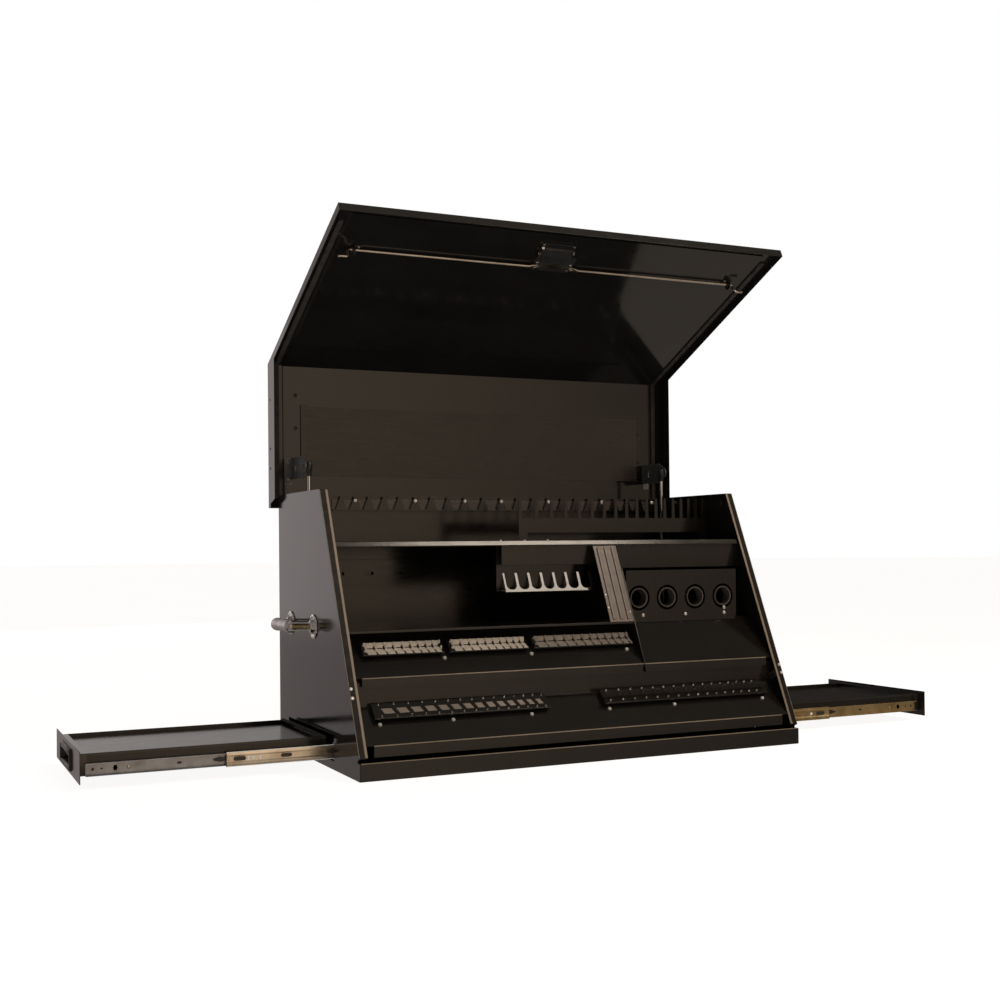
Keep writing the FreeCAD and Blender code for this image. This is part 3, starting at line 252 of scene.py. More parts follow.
mt, nt, bs = mat("foam_strip")
v = coords(nt)
nt.links.new(ramp(nt, noise(nt, v, 60.0, 4.0), [(0.3, (0.012, 0.010, 0.009)), (0.7, (0.034, 0.027, 0.022))]), bs.inputs["Base Color"])
bs.inputs["Roughness"].default_value = 0.85
vo = nd(nt, "ShaderNodeTexVoronoi")
vo.inputs["Scale"].default_value = 900.0
nt.links.new(v, vo.inputs["Vector"])
bump(nt, bs, vo.outputs["Distance"], 0.5, 0.0006)
M["foam"] = mt

# lighter copy of the black powder for turned lips and hems: a painted sheen standing in for the light those edges catch
M["paint_edge"] = powder("powder_black_edge_painted_sheen", (0.0200, 0.0165, 0.0135), 0.17, 900.0, 0.05, 0.03, dust=0.10)
M["rod"] = metal("rod_bright", (0.74, 0.70, 0.64), 0.16, (0.3, 10, 10), 50.0, 0.08, (0.55, 0.50, 0.44), 0.06)
M["strut_black"] = powder("strut_enamel", (0.0060, 0.0060, 0.0062), 0.12, 700.0, 0.02, 0.02, dust=0.06)
M["bracket"] = powder("bracket_zinc_phosphate", (0.085, 0.083, 0.080), 0.42, 700.0, 0.20, 0.05, dust=0.25)
M["slide_member_l"] = metal("slide_member_clear", (0.36, 0.39, 0.44), 0.26, (0.4, 14, 14), 70.0, 0.12, (0.27, 0.28, 0.31), 0.05)
M["nylon"] = powder("nylon_white", (0.62, 0.62, 0.60), 0.38, 300.0, 0.05, 0.02, dust=0.05)
M["slot_dark"] = powder("slot_shadow", (0.030, 0.020, 0.013), 0.45, 500.0, 0.10, 0.02, dust=0.10)
M["brass_zinc"] = metal("yellow_zinc", (0.62, 0.50, 0.27), 0.24, (8, 8, 1), 60.0, 0.10, (0.42, 0.32, 0.15), 0.10)
M["satin"] = metal("satin_nickel", (0.74, 0.72, 0.73), 0.34, (10, 0.6, 10), 60.0, 0.08, (0.62, 0.60, 0.61), 0.10)
M["peg"] = metal("peg_zinc", (0.62, 0.58, 0.52), 0.25, (8, 8, 1), 60.0, 0.10, (0.40, 0.36, 0.31), 0.10)
M["rail_dark"] = powder("rail_enamel", (0.020, 0.017, 0.014), 0.22, 800.0, 0.05, 0.02, dust=0.12)
M["rail_cell"] = metal("rail_burnished", (0.66, 0.61, 0.54), 0.24, (0.5, 10, 10), 60.0, 0.12, (0.34, 0.30, 0.26), 0.12)

# light warm brown for rolled edges and hems: a painted highlight standing in for the light caught along the edges
M["edge_highlight_paint"] = powder("powder_painted_edge_highlight", (0.230, 0.178, 0.122), 0.30, 700.0, 0.08, 0.03, dust=0.10)
# brown copy of the black powder for the divider pillar: a painted warm sheen of the front light
M["pillar"] = powder("powder_pillar_painted_warm_sheen", (0.075, 0.046, 0.031), 0.34, 620.0, 0.30, 0.06, dust=0.20)
# light cream for the socket rail cells, with dim and mid copies: painted highlights standing in for the light off the
# black cells' top faces
M["cell"] = powder("cell_painted_highlight", (0.50, 0.44, 0.37), 0.42, 500.0, 0.10, 0.04, dust=0.30)
M["cell_dim"] = powder("cell_painted_highlight_dim", (0.26, 0.225, 0.19), 0.42, 500.0, 0.10, 0.04, dust=0.30)
# lighter strip colour behind the rack's teeth: painted light of the lit rear panel
M["rack_back"] = powder("powder_rack_strip_painted_light", (0.060, 0.050, 0.042), 0.30, 700.0, 0.10, 0.04, dust=0.20)
M["sleeve"] = powder("sleeve_enamel", (0.060, 0.050, 0.044), 0.22, 700.0, 0.04, 0.02, dust=0.10)
M["screw"] = metal("screw_zinc", (0.92, 0.91, 0.89), 0.40, (8, 8, 8), 60.0, 0.10, (0.70, 0.68, 0.64), 0.08)
M["slide_inter_l"] = metal("slide_inter_clear", (0.72, 0.66, 0.57), 0.20, (0.4, 14, 14), 70.0, 0.06, (0.56, 0.49, 0.40), 0.03)
# near-white: a painted highlight on the left slides' rolled lips, and the white of the nylon cage seen through the web
M["lip_highlight_and_cage_white"] = powder("lip_highlight_and_cage_white", (0.66, 0.65, 0.62), 0.30, 700.0, 0.05, 0.02, dust=0.05)
M["cell_mid"] = powder("cell_painted_highlight_mid", (0.20, 0.17, 0.14), 0.42, 500.0, 0.10, 0.04, dust=0.30)

# ---------------------------------------------------------------- materials on the carried-over parts
SLOT = {}
for s in frame["record"]["subparts"]:
    SLOT[s["node"]] = s["material_slot"]
BY_SLOT = {"black_gloss_paint": "paint", "zinc_steel": "zinc", "slide_zinc": "slide_silver",
           "chrome_plate": "chrome", "black_plastic": "plastic", "black_foam": "foam"}
SPECIAL = {"left_side_panel": "paint_side", "right_side_panel": "paint_side", "lid_liner": "paint_gloss", "lid_pocket_panel": "paint_grain",
           "pocket_panel_strip": "paint_grain", "screwdriver_rack": "strut_black", "divider_pillar": "pillar", "holster_plate": "paint_gloss",
           "right_slide_intermediates": "slide_gold", "right_slide_drawer_members": "slide_gold"}
for name, ob in NODES.items():
    use = M[SPECIAL.get(name, BY_SLOT[SLOT[name]])]
    if len(ob.material_slots) == 0:
        ob.data.materials.append(use)
    for sl in ob.material_slots:
        sl.material = use

# ---------------------------------------------------------------- mesh building
from mathutils.geometry import tessellate_polygon


class Bld:
    """Collects faces in millimetre coordinates and turns them into one piece."""

    def __init__(self, fm=None):
        self.bm = bmesh.new()
        self.f = fm or P
        self.mi = 0

    def v(self, p):
        return self.bm.verts.new(self.f(*p))

    def face(self, vs):
        try:
            fc = self.bm.faces.new(vs)
            fc.material_index = self.mi
        except ValueError:
            pass

    def loft(self, rings, cap0=True, cap1=True):
        vr = [[self.v(p) for p in r] for r in rings]
        n = len(vr[0])
        for a, b in zip(vr[:-1], vr[1:]):
            for i in range(n):
                j = (i + 1) % n
                self.face([a[i], a[j], b[j], b[i]])
        if cap0:
            self.face(vr[0][::-1])
        if cap1:
            self.face(vr[-1])

    def prism(self, poly, plane, a0, a1):
        k = {"YZ": lambda u, w, a: (a, u, w), "XZ": lambda u, w, a: (u, a, w), "XY": lambda u, w, a: (u, w, a)}[plane]
        self.loft([[k(u, w, a0) for u, w in poly], [k(u, w, a1) for u, w in poly]])

    def plate(self, outer, holes, plane, a0, a1):
        """A flat plate with holes."""
        k = {"YZ": lambda u, w, a: (a, u, w), "XZ": lambda u, w, a: (u, a, w), "XY": lambda u, w, a: (u, w, a)}[plane]
        loops = [outer] + list(holes)
        flat = [p for lp in loops for p in lp]
        tris = tessellate_polygon([[Vector((u, w, 0)) for u, w in lp] for lp in loops])
        v0 = [self.v(k(u, w, a0)) for u, w in flat]
        v1 = [self.v(k(u, w, a1)) for u, w in flat]
        for t in tris:
            self.face([v0[i] for i in t])
            self.face([v1[i] for i in t][::-1])
        at_ = 0
        for lp in loops:
            n = len(lp)
            for i in range(n):
                j = (i + 1) % n
                self.face([v0[at_ + i], v0[at_ + j], v1[at_ + j], v1[at_ + i]])
            at_ += n

    def basis(self, d):
        d = Vector(d).normalized()
        a = Vector((1, 0, 0)) if abs(d.x) < 0.8 else Vector((0, 0, 1))
        u = d.cross(a).normalized()
        return d, u, d.cross(u)

    def lathe(self, prof, o, d, n=24, wave=None):
        """Turned shape: profile of (radius, height along d); a radius of 0 closes the end."""
        d, u, w = self.basis(d)
        o = Vector(o)
        prev = None
        for r, h in prof:
            if r <= 1e-6:
                cur = [self.v(o + d * h)]
            else:
                cur = []
                for i in range(n):
                    t = i / n * math.tau
                    rr = r * (1 + (wave(t, r) if wave else 0.0))
                    cur.append(self.v(o + d * h + (u * math.cos(t) + w * math.sin(t)) * rr))
            if prev is not None:
                for i in range(n):
                    j = (i + 1) % n
                    if len(prev) == 1 and len(cur) == 1:
                        break
                    if len(prev) == 1:
                        self.face([prev[0], cur[i], cur[j]])
                    elif len(cur) == 1:
                        self.face([prev[i], prev[j], cur[0]])
                    else:
                        self.face([prev[i], prev[j], cur[j], cur[i]])
            prev = cur

    def tube(self, pts, r, n=14, flat=None):
        """Round bar along a path; flat(i) scales the section across (first, second axis)."""
        pts = [Vector(p) for p in pts]
        m_ = len(pts)
        tg = []
        for i in range(m_):
            a = pts[max(i - 1, 0)]
            b = pts[min(i + 1, m_ - 1)]
            tg.append((b - a).normalized())
        _, u, w = self.basis(tg[0])
        rings = []
        for i, p in enumerate(pts):
            t = tg[i]
            u = (u - t * u.dot(t)).normalized()
            w = t.cross(u)
            fu, fw = flat(i) if flat else (1, 1)
            rings.append([tuple(p + u * math.cos(k / n * math.tau) * r * fu + w * math.sin(k / n * math.tau) * r * fw)
                          for k in range(n)])
        self.loft(rings)

    def pan(self, o, d, r, h):
        """Pan head with a cross recess."""
        n = 20
        self.lathe([(r * 1.0, 0), (r * 1.0, h * 0.30), (r * 0.93, h * 0.62), (r * 0.78, h * 0.86), (r * 0.62, h)], o, d, n)
        d, u, w = self.basis(d)
        o = Vector(o)
        ring = [(math.cos(i / n * math.tau) * r * 0.62, math.sin(i / n * math.tau) * r * 0.62) for i in range(n)]
        q, e = 0.11 * r, 0.46 * r
        plus = [(q, q), (q, e), (-q, e), (-q, q), (-e, q), (-e, -q), (-q, -q), (-q, -e), (q, -e), (q, -q), (e, -q), (e, q)]
        tris = tessellate_polygon([[Vector((a, b, 0)) for a, b in ring], [Vector((a, b, 0)) for a, b in plus]])
        top = [self.v(o + d * h + u * a + w * b) for a, b in ring + plus]
        for t in tris:
            self.face([top[i] for i in t])
        low = [self.v(o + d * h * 0.35 + u * a * 0.75 + w * b * 0.75) for a, b in plus]
        for i in range(12):
            j = (i + 1) % 12
            self.face([top[n + i], top[n + j], low[j], low[i]])
        self.face(low)

    def rivet(self, o, d, r, h):
        self.lathe([(r * 1.12, 0), (r * 1.12, h * 0.18), (r * 0.98, h * 0.32), (r * 0.80, h * 0.72),
                    (r * 0.48, h * 0.95), (0, h)], o, d, 18)

    def block(self, x0, y0, z0, x1, y1, z1, c=0.8, s=3):
        """Rounded block: rounded upright corners and eased top and bottom."""
        def ring(z, ins):
            out = []
            cc = max(c - ins * 0.3, 0.05)
            for (cx, cy, a0) in ((x1 - ins - cc, y1 - ins - cc, 0), (x0 + ins + cc, y1 - ins - cc, 90),
                                 (x0 + ins + cc, y0 + ins + cc, 180), (x1 - ins - cc, y0 + ins + cc, 270)):
                for i in range(s + 1):
                    t = math.radians(a0 + 90 * i / s)
                    out.append((cx + math.cos(t) * cc, cy + math.sin(t) * cc, z))
            return out
        e = min(c, (z1 - z0) * 0.3)
        self.loft([ring(z0, e), ring(z0 + e * 0.3, e * 0.3), ring(z0 + e, 0), ring(z1 - e, 0),
                   ring(z1 - e * 0.3, e * 0.3), ring(z1, e)])


def arc(cx, cy, r, a0, a1, n=8):
    return [(cx + r * math.cos(math.radians(a0 + (a1 - a0) * i / n)), cy + r * math.sin(math.radians(a0 + (a1 - a0) * i / n)))
            for i in range(n + 1)]


def circ(cx, cy, r, n=24):
    return [(cx + r * math.cos(i / n * math.tau), cy + r * math.sin(i / n * math.tau)) for i in range(n)]


def rrect(x0, y0, x1, y1, r, n=5):
    return (arc(x1 - r, y1 - r, r, 0, 90, n) + arc(x0 + r, y1 - r, r, 90, 180, n)
            + arc(x0 + r, y0 + r, r, 180, 270, n) + arc(x1 - r, y0 + r, r, 270, 360, n))


def slot_(x0, y0, x1, y1, n=8):
    """Horizontal slot with round ends."""
    r = (y1 - y0) / 2
    return arc(x1 - r, (y0 + y1) / 2, r, -90, 90, n) + arc(x0 + r, (y0 + y1) / 2, r, 90, 270, n)


def bend(pts, t):
    """Outline of a bent sheet of thickness t: the open polyline offset to its left."""
    n = len(pts)
    nr = []
    for i in range(n - 1):
        dx, dy = pts[i + 1][0] - pts[i][0], pts[i + 1][1] - pts[i][1]
        q = math.hypot(dx, dy)
        nr.append((-dy / q, dx / q))
    out = []
    for i in range(n):
        if i == 0:
            o = nr[0]
        elif i == n - 1:
            o = nr[-1]
        else:
            a, b = nr[i - 1], nr[i]
            k = 1.0 / (1.0 + a[0] * b[0] + a[1] * b[1])
            o = ((a[0] + b[0]) * k, (a[1] + b[1]) * k)
        out.append((pts[i][0] + o[0] * t, pts[i][1] + o[1] * t))
    return list(pts) + out[::-1]


PIECES = {}


def make(name, b, mats, body, nodes=(), bevel=0.0, seg=2, angle=32):
    bmesh.ops.recalc_face_normals(b.bm, faces=b.bm.faces)
    me = bpy.data.meshes.new(name)
    b.bm.to_mesh(me)
    b.bm.free()
    for p in me.polygons:
        p.use_smooth = True
    me.set_sharp_from_angle(angle=math.radians(angle))
    for k in mats:
        me.materials.append(M[k])
    ob = bpy.data.objects.new(name, me)
    SC.collection.objects.link(ob)
    if bevel:
        md = ob.modifiers.new("edge", "BEVEL")
        md.width = bevel / 1000.0
        md.segments = seg
        md.limit_method = "ANGLE"
        md.angle_limit = math.radians(angle)
        md.use_clamp_overlap = True
        md.harden_normals = True
    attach(ob, body)
    if nodes:
        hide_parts(*nodes)
    PIECES[name] = ob
    return ob


# ---------------------------------------------------------------- eased edges on the carried-over sheet parts
def ease(name, width=0.45, seg=2):
    ob = NODES[name]
    a = ob.modifiers.new("weld", "WELD")
    a.merge_threshold = 4e-6
    d = ob.modifiers.new("planar", "DECIMATE")
    d.decimate_type = "DISSOLVE"
    d.angle_limit = math.radians(0.6)
    md = ob.modifiers.new("edge", "BEVEL")
    md.width = width / 1000.0
    md.segments = seg
    md.limit_method = "ANGLE"
    md.angle_limit = math.radians(28)
    md.use_clamp_overlap = True
    md.harden_normals = False
    w = ob.modifiers.new("normals", "WEIGHTED_NORMAL")
    w.keep_sharp = False
    w.weight = 50


for nm in ("left_side_panel", "right_side_panel", "rear_panel", "base_plate", "front_plinth", "drawer_bay_pan", "bay_partition",
           "lower_tray", "middle_tray", "right_bay_floor", "deep_shelf", "bay_divider", "divider_pillar",
           "upper_shelf", "hanger_strip", "plier_comb", "wrench_comb", "screwdriver_rack", "rear_rail",
           "lid_shell", "lid_liner", "left_drawer_tray", "right_drawer_tray", "rod_keepers"):
    ease(nm, 0.42)

# ---------------------------------------------------------------- screws and rivets
SL, SN = (0.7242, 0.6896), (-0.6896, 0.7242)      # along and square to the tray floors


def on_tray(front, a, n):
    return (front[0] + SL[0] * a + SN[0] * n, front[1] + SL[1] * a + SN[1] * n)


LOW, MID = (12.0, 58.0), (66.0, 168.0)
b = Bld()
for front, x, a in ((LOW, -405.0, 44.0), (LOW, -267.0, 44.0), (LOW, -111.0, 44.0), (LOW, 52.0, 44.0), (LOW, 196.0, 44.0),
                    (LOW, 402.0, 44.0), (MID, -262.0, 38.0), (MID, -86.0, 38.0), (MID, 120.0, 38.0)):
    p = on_tray(front, a, 0.0)
    b.pan((x, p[0], p[1]), (0, SN[0], SN[1]), 4.0, 3.0)
for x in (-103.0, -52.0, -1.0):
    b.pan((x, 190.0, 407.0), (0, 0, 1), 4.0, 2.2)
for x in (188.0, 288.0, 382.0):
    b.pan((x, 143.0, 256.0), (0, -1, 0), 4.0, 2.2)
b.pan((116.0, 130.0, 249.5), (0, 0, 1), 4.0, 2.2)
b.pan((382.0, 143.0, 266.5), (0, -1, 0), 4.0, 2.2)
for sx in (-1, 1):
    for zz in (152.0, 136.7):
        b.pan((sx * 453.0, (zz - 31.0) * 218.0 / 474.0, zz), (0, -0.90851, 0.41786), 3.4, 2.0)
for x in (-296.5, -162.6, -47.8, 39.2, 154.8, 290.8, 423.0):
    b.pan((x, 486.8, 494.6), (0, -1, 0), 4.4, 2.4)
for x, zz in ((93.0, 300.0), (93.0, 275.0), (139.0, 266.0)):
    yy = 101.5 + (zz - 248.0) * 68.1 / 148.0
    b.rivet((x, yy, zz), (0, -0.90851, 0.41786), 2.2, 1.2)
make("case_screw_heads", b, ["screw"], "case", ["case_screws"])

b = Bld(lambda x, y, z: LC(x, y, z))
for x, zc in ((-412.0, 713.0), (-412.0, 645.0), (-412.0, 579.0), (409.0, 655.0), (409.0, 590.0)):
    b.rivet((x, 988.0 - zc, 507.0), (0, 0, -1), 3.4, 1.6)
for sx in (-1, 1):
    for bb in (479.0, 451.0, 423.0):
        q = L(0, bb, 9.0)
        y_c, z_c = FOLD[0] - SY * bb + SZ * 9.0, FOLD[1] - SZ * bb - SY * 9.0
        if sx > 0:
            b.rivet((467.8, y_c, z_c), (-1, 0, 0), 3.2, 1.6)
    for zc in (560.0, 600.0, 700.0):
        b.rivet((sx * 469.0, 988.0 - zc, 495.0), (sx, 0, 0), 2.6, 1.0)
make("lid_rivet_heads", b, ["paint"], "lid", ["lid_rivets"])

# ---------------------------------------------------------------- upper shelf's turned lip, parallel to the slope, in the lighter edge paint: a painted sheen
b = Bld()
b.prism(bend([(180.4, 407.0), (178.9, 406.2), (175.6, 398.9), (176.0, 398.0), (180.0, 397.6)], -0.7), "YZ", -439.5, 439.5)
make("upper_shelf_lip", b, ["paint_edge"], "case", (), 0.25)

# ---------------------------------------------------------------- rolled edges of the plinth and the tray lips, coloured with a painted highlight
b = Bld()
for (y, z, x0, x1, r) in ((0.7, 30.5, -454.8, 454.8, 0.9), (LOW[0] + 0.5, LOW[1] - 0.5, -426.8, 426.8, 1.0), (MID[0] + 0.5, MID[1] - 0.5, -428.8, 142.6, 1.0), (MID[0] + 0.5, MID[1] - 0.5, 144.8, 428.8, 1.0)):
    b.loft([[(x, y + r * k * math.cos(t), z + r * k * math.sin(t)) for t in [i / 12 * math.tau for i in range(12)]] for x, k in ((x0, 0.6), (x0 + 0.6, 1.0), (x1 - 0.6, 1.0), (x1, 0.6))])
make("rolled_lip_edges", b, ["edge_highlight_paint"], "case", (), 0.0)

# ---------------------------------------------------------------- sleeves in the holster plate's holes
b = Bld()
for x in (179.0, 245.0, 311.5, 379.0):
    b.mi = 0
    b.lathe([(17.0, 0.4), (17.6, -0.8), (19.2, -1.1), (20.2, -0.2), (19.6, 0.6), (19.0, 1.6), (18.8, 22.0), (17.4, 22.0), (17.0, 0.4)], (x, 143.0, 291.0), (0, 1, 0), 40)
make("holster_sleeves", b, ["sleeve"], "case", (), 0.0)

# ---------------------------------------------------------------- lighter strip behind the rack's teeth: painted light on the rear panel, seen in the gaps between the teeth
b = Bld()
b.prism(rrect(-344.5, 475.6, 438.5, 497.2, 1.0, 2), "XZ", 491.5, 492.25)
make("rack_back_painted_light_strip", b, ["rack_back"], "case", (), 0.0)

# ---------------------------------------------------------------- side flange hems along the slope, coloured with a painted highlight
for sx, nm in ((-1, "left"), (1, "right")):
    b = Bld()
    for (u0, u1, h) in ((456.95, 455.6, 0.55), (446.0, 441.0, 0.55)):
        x0, x1 = sorted((sx * u0, sx * u1))
        ring = []
        for zz in (40.0, 504.3):
            yy = (zz - 31.0) * 218.0 / 474.0
            ring.append([(x0, yy + 0.2, zz), (x0 + 0.4, yy - SZ * h, zz + SY * h), (x1 - 0.4, yy - SZ * h, zz + SY * h), (x1, yy + 0.2, zz)])
        b.loft(ring)
    make(nm + "_flange_hem", b, ["edge_highlight_paint"], "case", (), 0.2)

# ---------------------------------------------------------------- latch: rods, lock box, plate
RB, RO, JOG = 406.0, 9.0, 16.0
for sx, nm in ((-1, "left"), (1, "right")):
    b = Bld(L)
    R = 6.0
    pts = [(sx * 41.5, RB, RO), (sx * 45.0, RB, RO), (sx * 50.0, RB, RO), (sx * 54.0, RB, RO), (sx * 120.0, RB, RO), (sx * 260.0, RB, RO)]
    cx = 420.0
    for k in range(7):
        t = math.radians(90 * k / 6)
        pts.append((sx * (cx - R + R * math.sin(t)), RB, RO + R - R * math.cos(t)))
    for k in range(7):
        t = math.radians(90 * k / 6)
        pts.append((sx * (cx + R - R * math.cos(t)), RB, RO + JOG - R + R * math.sin(t)))
    pts += [(sx * 438.6, RB, RO + JOG), (sx * 440.0, RB, RO + JOG)]
    last = len(pts) - 1
    sc = [(1.0, 1.0)] * (last + 1)
    # pressed flat towards the eye, eased at the tip
    fl = {0: (1.9, 0.42), 1: (1.9, 0.42), 2: (1.5, 0.7), 3: (1.0, 1.0), last: (0.72, 0.72)}
    b.tube(pts, 2.75, 16, lambda i: fl.get(i, (1.0, 1.0)))
    b.lathe([(0, -1.2), (5.6, -1.2), (6.4, -0.7), (6.4, 0.7), (5.6, 1.2), (0, 1.2)], (sx * 39.3, RB, RO), (0, 0, 1), 24)
    b.lathe([(0, -1.6), (2.6, -1.6), (2.6, 2.2), (4.2, 2.2), (4.2, 3.1), (3.4, 4.0), (0, 4.2)], (sx * 39.3, RB, RO), (0, 0, 1), 20)
    make(nm + "_rod_bar", b, ["rod"], nm + "_latch_rod", [nm + "_latch_rod"])

b = Bld(L)
b.plate(rrect(-44, 392, 40, 437, 5), [circ(0, RB, 8.0, 28)], "XY", 4.0, 5.4)
b.plate(rrect(-38, 421, 34, 433, 3), [], "XY", 5.3, 5.95)
b.plate(rrect(-30, 394, 26, 399, 2), [], "XY", 5.3, 5.95)
make("latch_plate", b, ["plastic"], "lid", ["latch_backplate"], 0.7, 3)

b = Bld(L)
prof = []
for x, k in ((-46.0, 0.90), (-45.0, 0.98), (-43.5, 1.0), (13.5, 1.0), (15.0, 0.98), (16.0, 0.90)):
    ring = [(x, 455 + (440 - 455) * k, 4.0)]
    ring += [(x, 455 + (bb - 455) * k, 4.0 + (oo - 4.0) * k) for bb, oo in arc(446.5, 10.0, 6.5, 180, 90, 6)]
    ring += [(x, 455 + (bb - 455) * k, 4.0 + (oo - 4.0) * k) for bb, oo in arc(461.5, 9.5, 8.5, 90, 0, 8) if oo <= 16.0]
    ring += [(x, 455 + (470 - 455) * k, 4.0)]
    prof.append([(x, bb, min(oo, 16.0)) for x, bb, oo in ring])
b.loft(prof)
b.plate(rrect(-50, 436, 20, 474, 3), [], "XY", 4.0, 5.2)
make("lock_box", b, ["plastic"], "lid", ["lock_case"], 0.4, 2, 24)

b = Bld(L)
b.lathe([(0, 0), (6.2, 0), (6.2, 1.6), (5.4, 2.6), (4.6, 2.6), (4.4, 1.4), (0, 1.4)], (16.0, 459, 10.0), (1, 0, 0), 24)
for bb, oo in ((446.0, 8.5), (463.0, 9.0)):
    b.lathe([(0, 0), (4.4, 0), (4.4, 1.6), (3.9, 2.0)] + [(3.9, 2.0), (3.9, 5.2), (3.2, 6.0), (0, 6.0)], (-46.2, bb, oo), (-1, 0, 0), 6)
for x, bb in ((-47.0, 441), (-47.0, 469), (17.2, 441), (17.2, 469)):
    b.pan((x, bb, 5.2), (0, 0, 1), 2.4, 1.4)
for x, bb in ((-38, 398), (34, 398), (-38, 415), (34, 415)):
    b.pan((x, bb, 5.4), (0, 0, 1), 3.0, 1.7)
make("latch_fixings", b, ["chrome"], "lid", ())

# turning part: shaft, cam arm, outside T-handle
b = Bld(L)
b.lathe([(0, -15.5), (6.0, -15.5), (6.0, 6.1), (0, 6.1)], (0, RB, 0), (0, 0, 1), 24)
arm = []
for sx in (1, -1):
    arm += [(sx * p[0], RB + sx * (p[1])) for p in ((9.5, -5.6), (36.0, -5.0), (40.5, -3.6), (42.5, 0.0), (40.5, 3.6), (36.0, 5.0), (9.5, 5.6), (6.5, 9.0), (0.0, 11.0))]
arm2 = [(9.5, RB - 5.6), (36.0, RB - 5.0), (40.5, RB - 3.6), (42.5, RB), (40.5, RB + 3.6), (36.0, RB + 5.0), (9.5, RB + 5.6), (6.0, RB + 9.2), (0.0, RB + 11.0),
        (-6.0, RB + 9.2), (-9.5, RB + 5.6), (-36.0, RB + 5.0), (-40.5, RB + 3.6), (-42.5, RB), (-40.5, RB - 3.6), (-36.0, RB - 5.0), (-9.5, RB - 5.6),
        (-6.0, RB - 9.2), (0.0, RB - 11.0), (6.0, RB - 9.2)]
b.prism(arm2, "XY", 6.1, 7.2)
b.mi = 1
b.lathe([(0, -15.2), (12.4, -15.2), (13.0, -14.4), (13.0, -4.0), (11.6, -2.2), (9.5, -1.5), (0, -1.5)], (0, RB, 0), (0, 0, 1), 32)
rings = []
for x, k in ((-34.0, 0.45), (-33.2, 0.78), (-31.0, 0.95), (-26.0, 1.0), (-12.0, 0.86), (0.0, 0.82), (12.0, 0.86), (26.0, 1.0), (31.0, 0.95), (33.2, 0.78), (34.0, 0.45)):
    rings.append([(x, RB + 9.0 * k * math.cos(t), -19.5 + 4.4 * k * math.sin(t)) for t in [i / 20 * math.tau for i in range(20)]])
b.loft(rings)
make("latch_turn_handle", b, ["zinc", "chrome"], "latch", ["latch_handle"])

b = Bld(L)
b.plate(rrect(-30, RB - 30, 30, RB + 72, 9, 7), [circ(0, RB, 6.6, 28)], "XY", -1.2, 0.0)
b.plate(rrect(-25, RB - 25, 25, RB + 67, 6, 7), [circ(0, RB, 14.2, 36), circ(-15, 455, 12.0, 32)], "XY", -2.3, -1.1)
make("handle_escutcheon", b, ["chrome"], "lid", ["latch_escutcheon"], 0.5, 3)
b = Bld(L)
b.lathe([(0, -1.2), (11.0, -1.2), (11.0, -4.6), (10.4, -5.4), (8.6, -5.6), (8.2, -4.9), (7.9, -4.9), (7.9, -6.0), (7.2, -6.4)], (-15, 455, 0), (0, 0, 1), 32)
rg = [(-15 + p[0], 455 + p[1]) for p in circ(0, 0, 7.2, 32)]
key = [(-15 + p[0], 455 + p[1]) for p in ((0.7, 3.6), (-0.7, 3.6), (-0.7, 0.8), (-1.3, 0.2), (-0.7, -0.4), (-0.7, -3.6), (0.7, -3.6), (0.7, -1.6), (1.2, -1.0), (0.7, -0.4))]
b.plate(rg, [key], "XY", -6.4, -4.6)
make("lock_barrel", b, ["chrome"], "lid", ["lock_cylinder"])

# rod guides with a nylon eye, and the screws that hold them
b = Bld(L)
for sx in (-1, 1):
    x0, x1 = sorted((sx * 407.0, sx * 409.0))
    b.plate(arc(RB, 12.0, 8.5, 0, 180, 14) + [(RB - 9, 4.0), (RB + 9, 4.0)][::1], [circ(RB, RO, 5.2, 20)], "YZ", x0, x1)
    f0, f1 = sorted((sx * 393.0, sx * 407.5))
    b.plate(rrect(f0, RB - 9, f1, RB + 9, 2.5), [], "XY", 4.0, 5.3)
for sx in (-1, 1):
    b.mi = 1
    b.lathe([(3.05, -2.4), (6.4, -2.4), (6.4, -1.4), (5.1, -1.2), (5.1, 1.2), (6.4, 1.4), (6.4, 2.4), (3.05, 2.4), (3.05, -2.4)], (sx * 408.0, RB, RO), (1, 0, 0), 22)
    b.mi = 2
    b.pan((sx * 399.0, RB - 5.4, 5.3), (0, 0, 1), 2.6, 1.5)
    b.pan((sx * 399.0, RB + 5.4, 5.3), (0, 0, 1), 2.6, 1.5)
make("rod_guide_brackets", b, ["paint", "plastic", "zinc"], "lid", ["rod_guides"], 0.3)

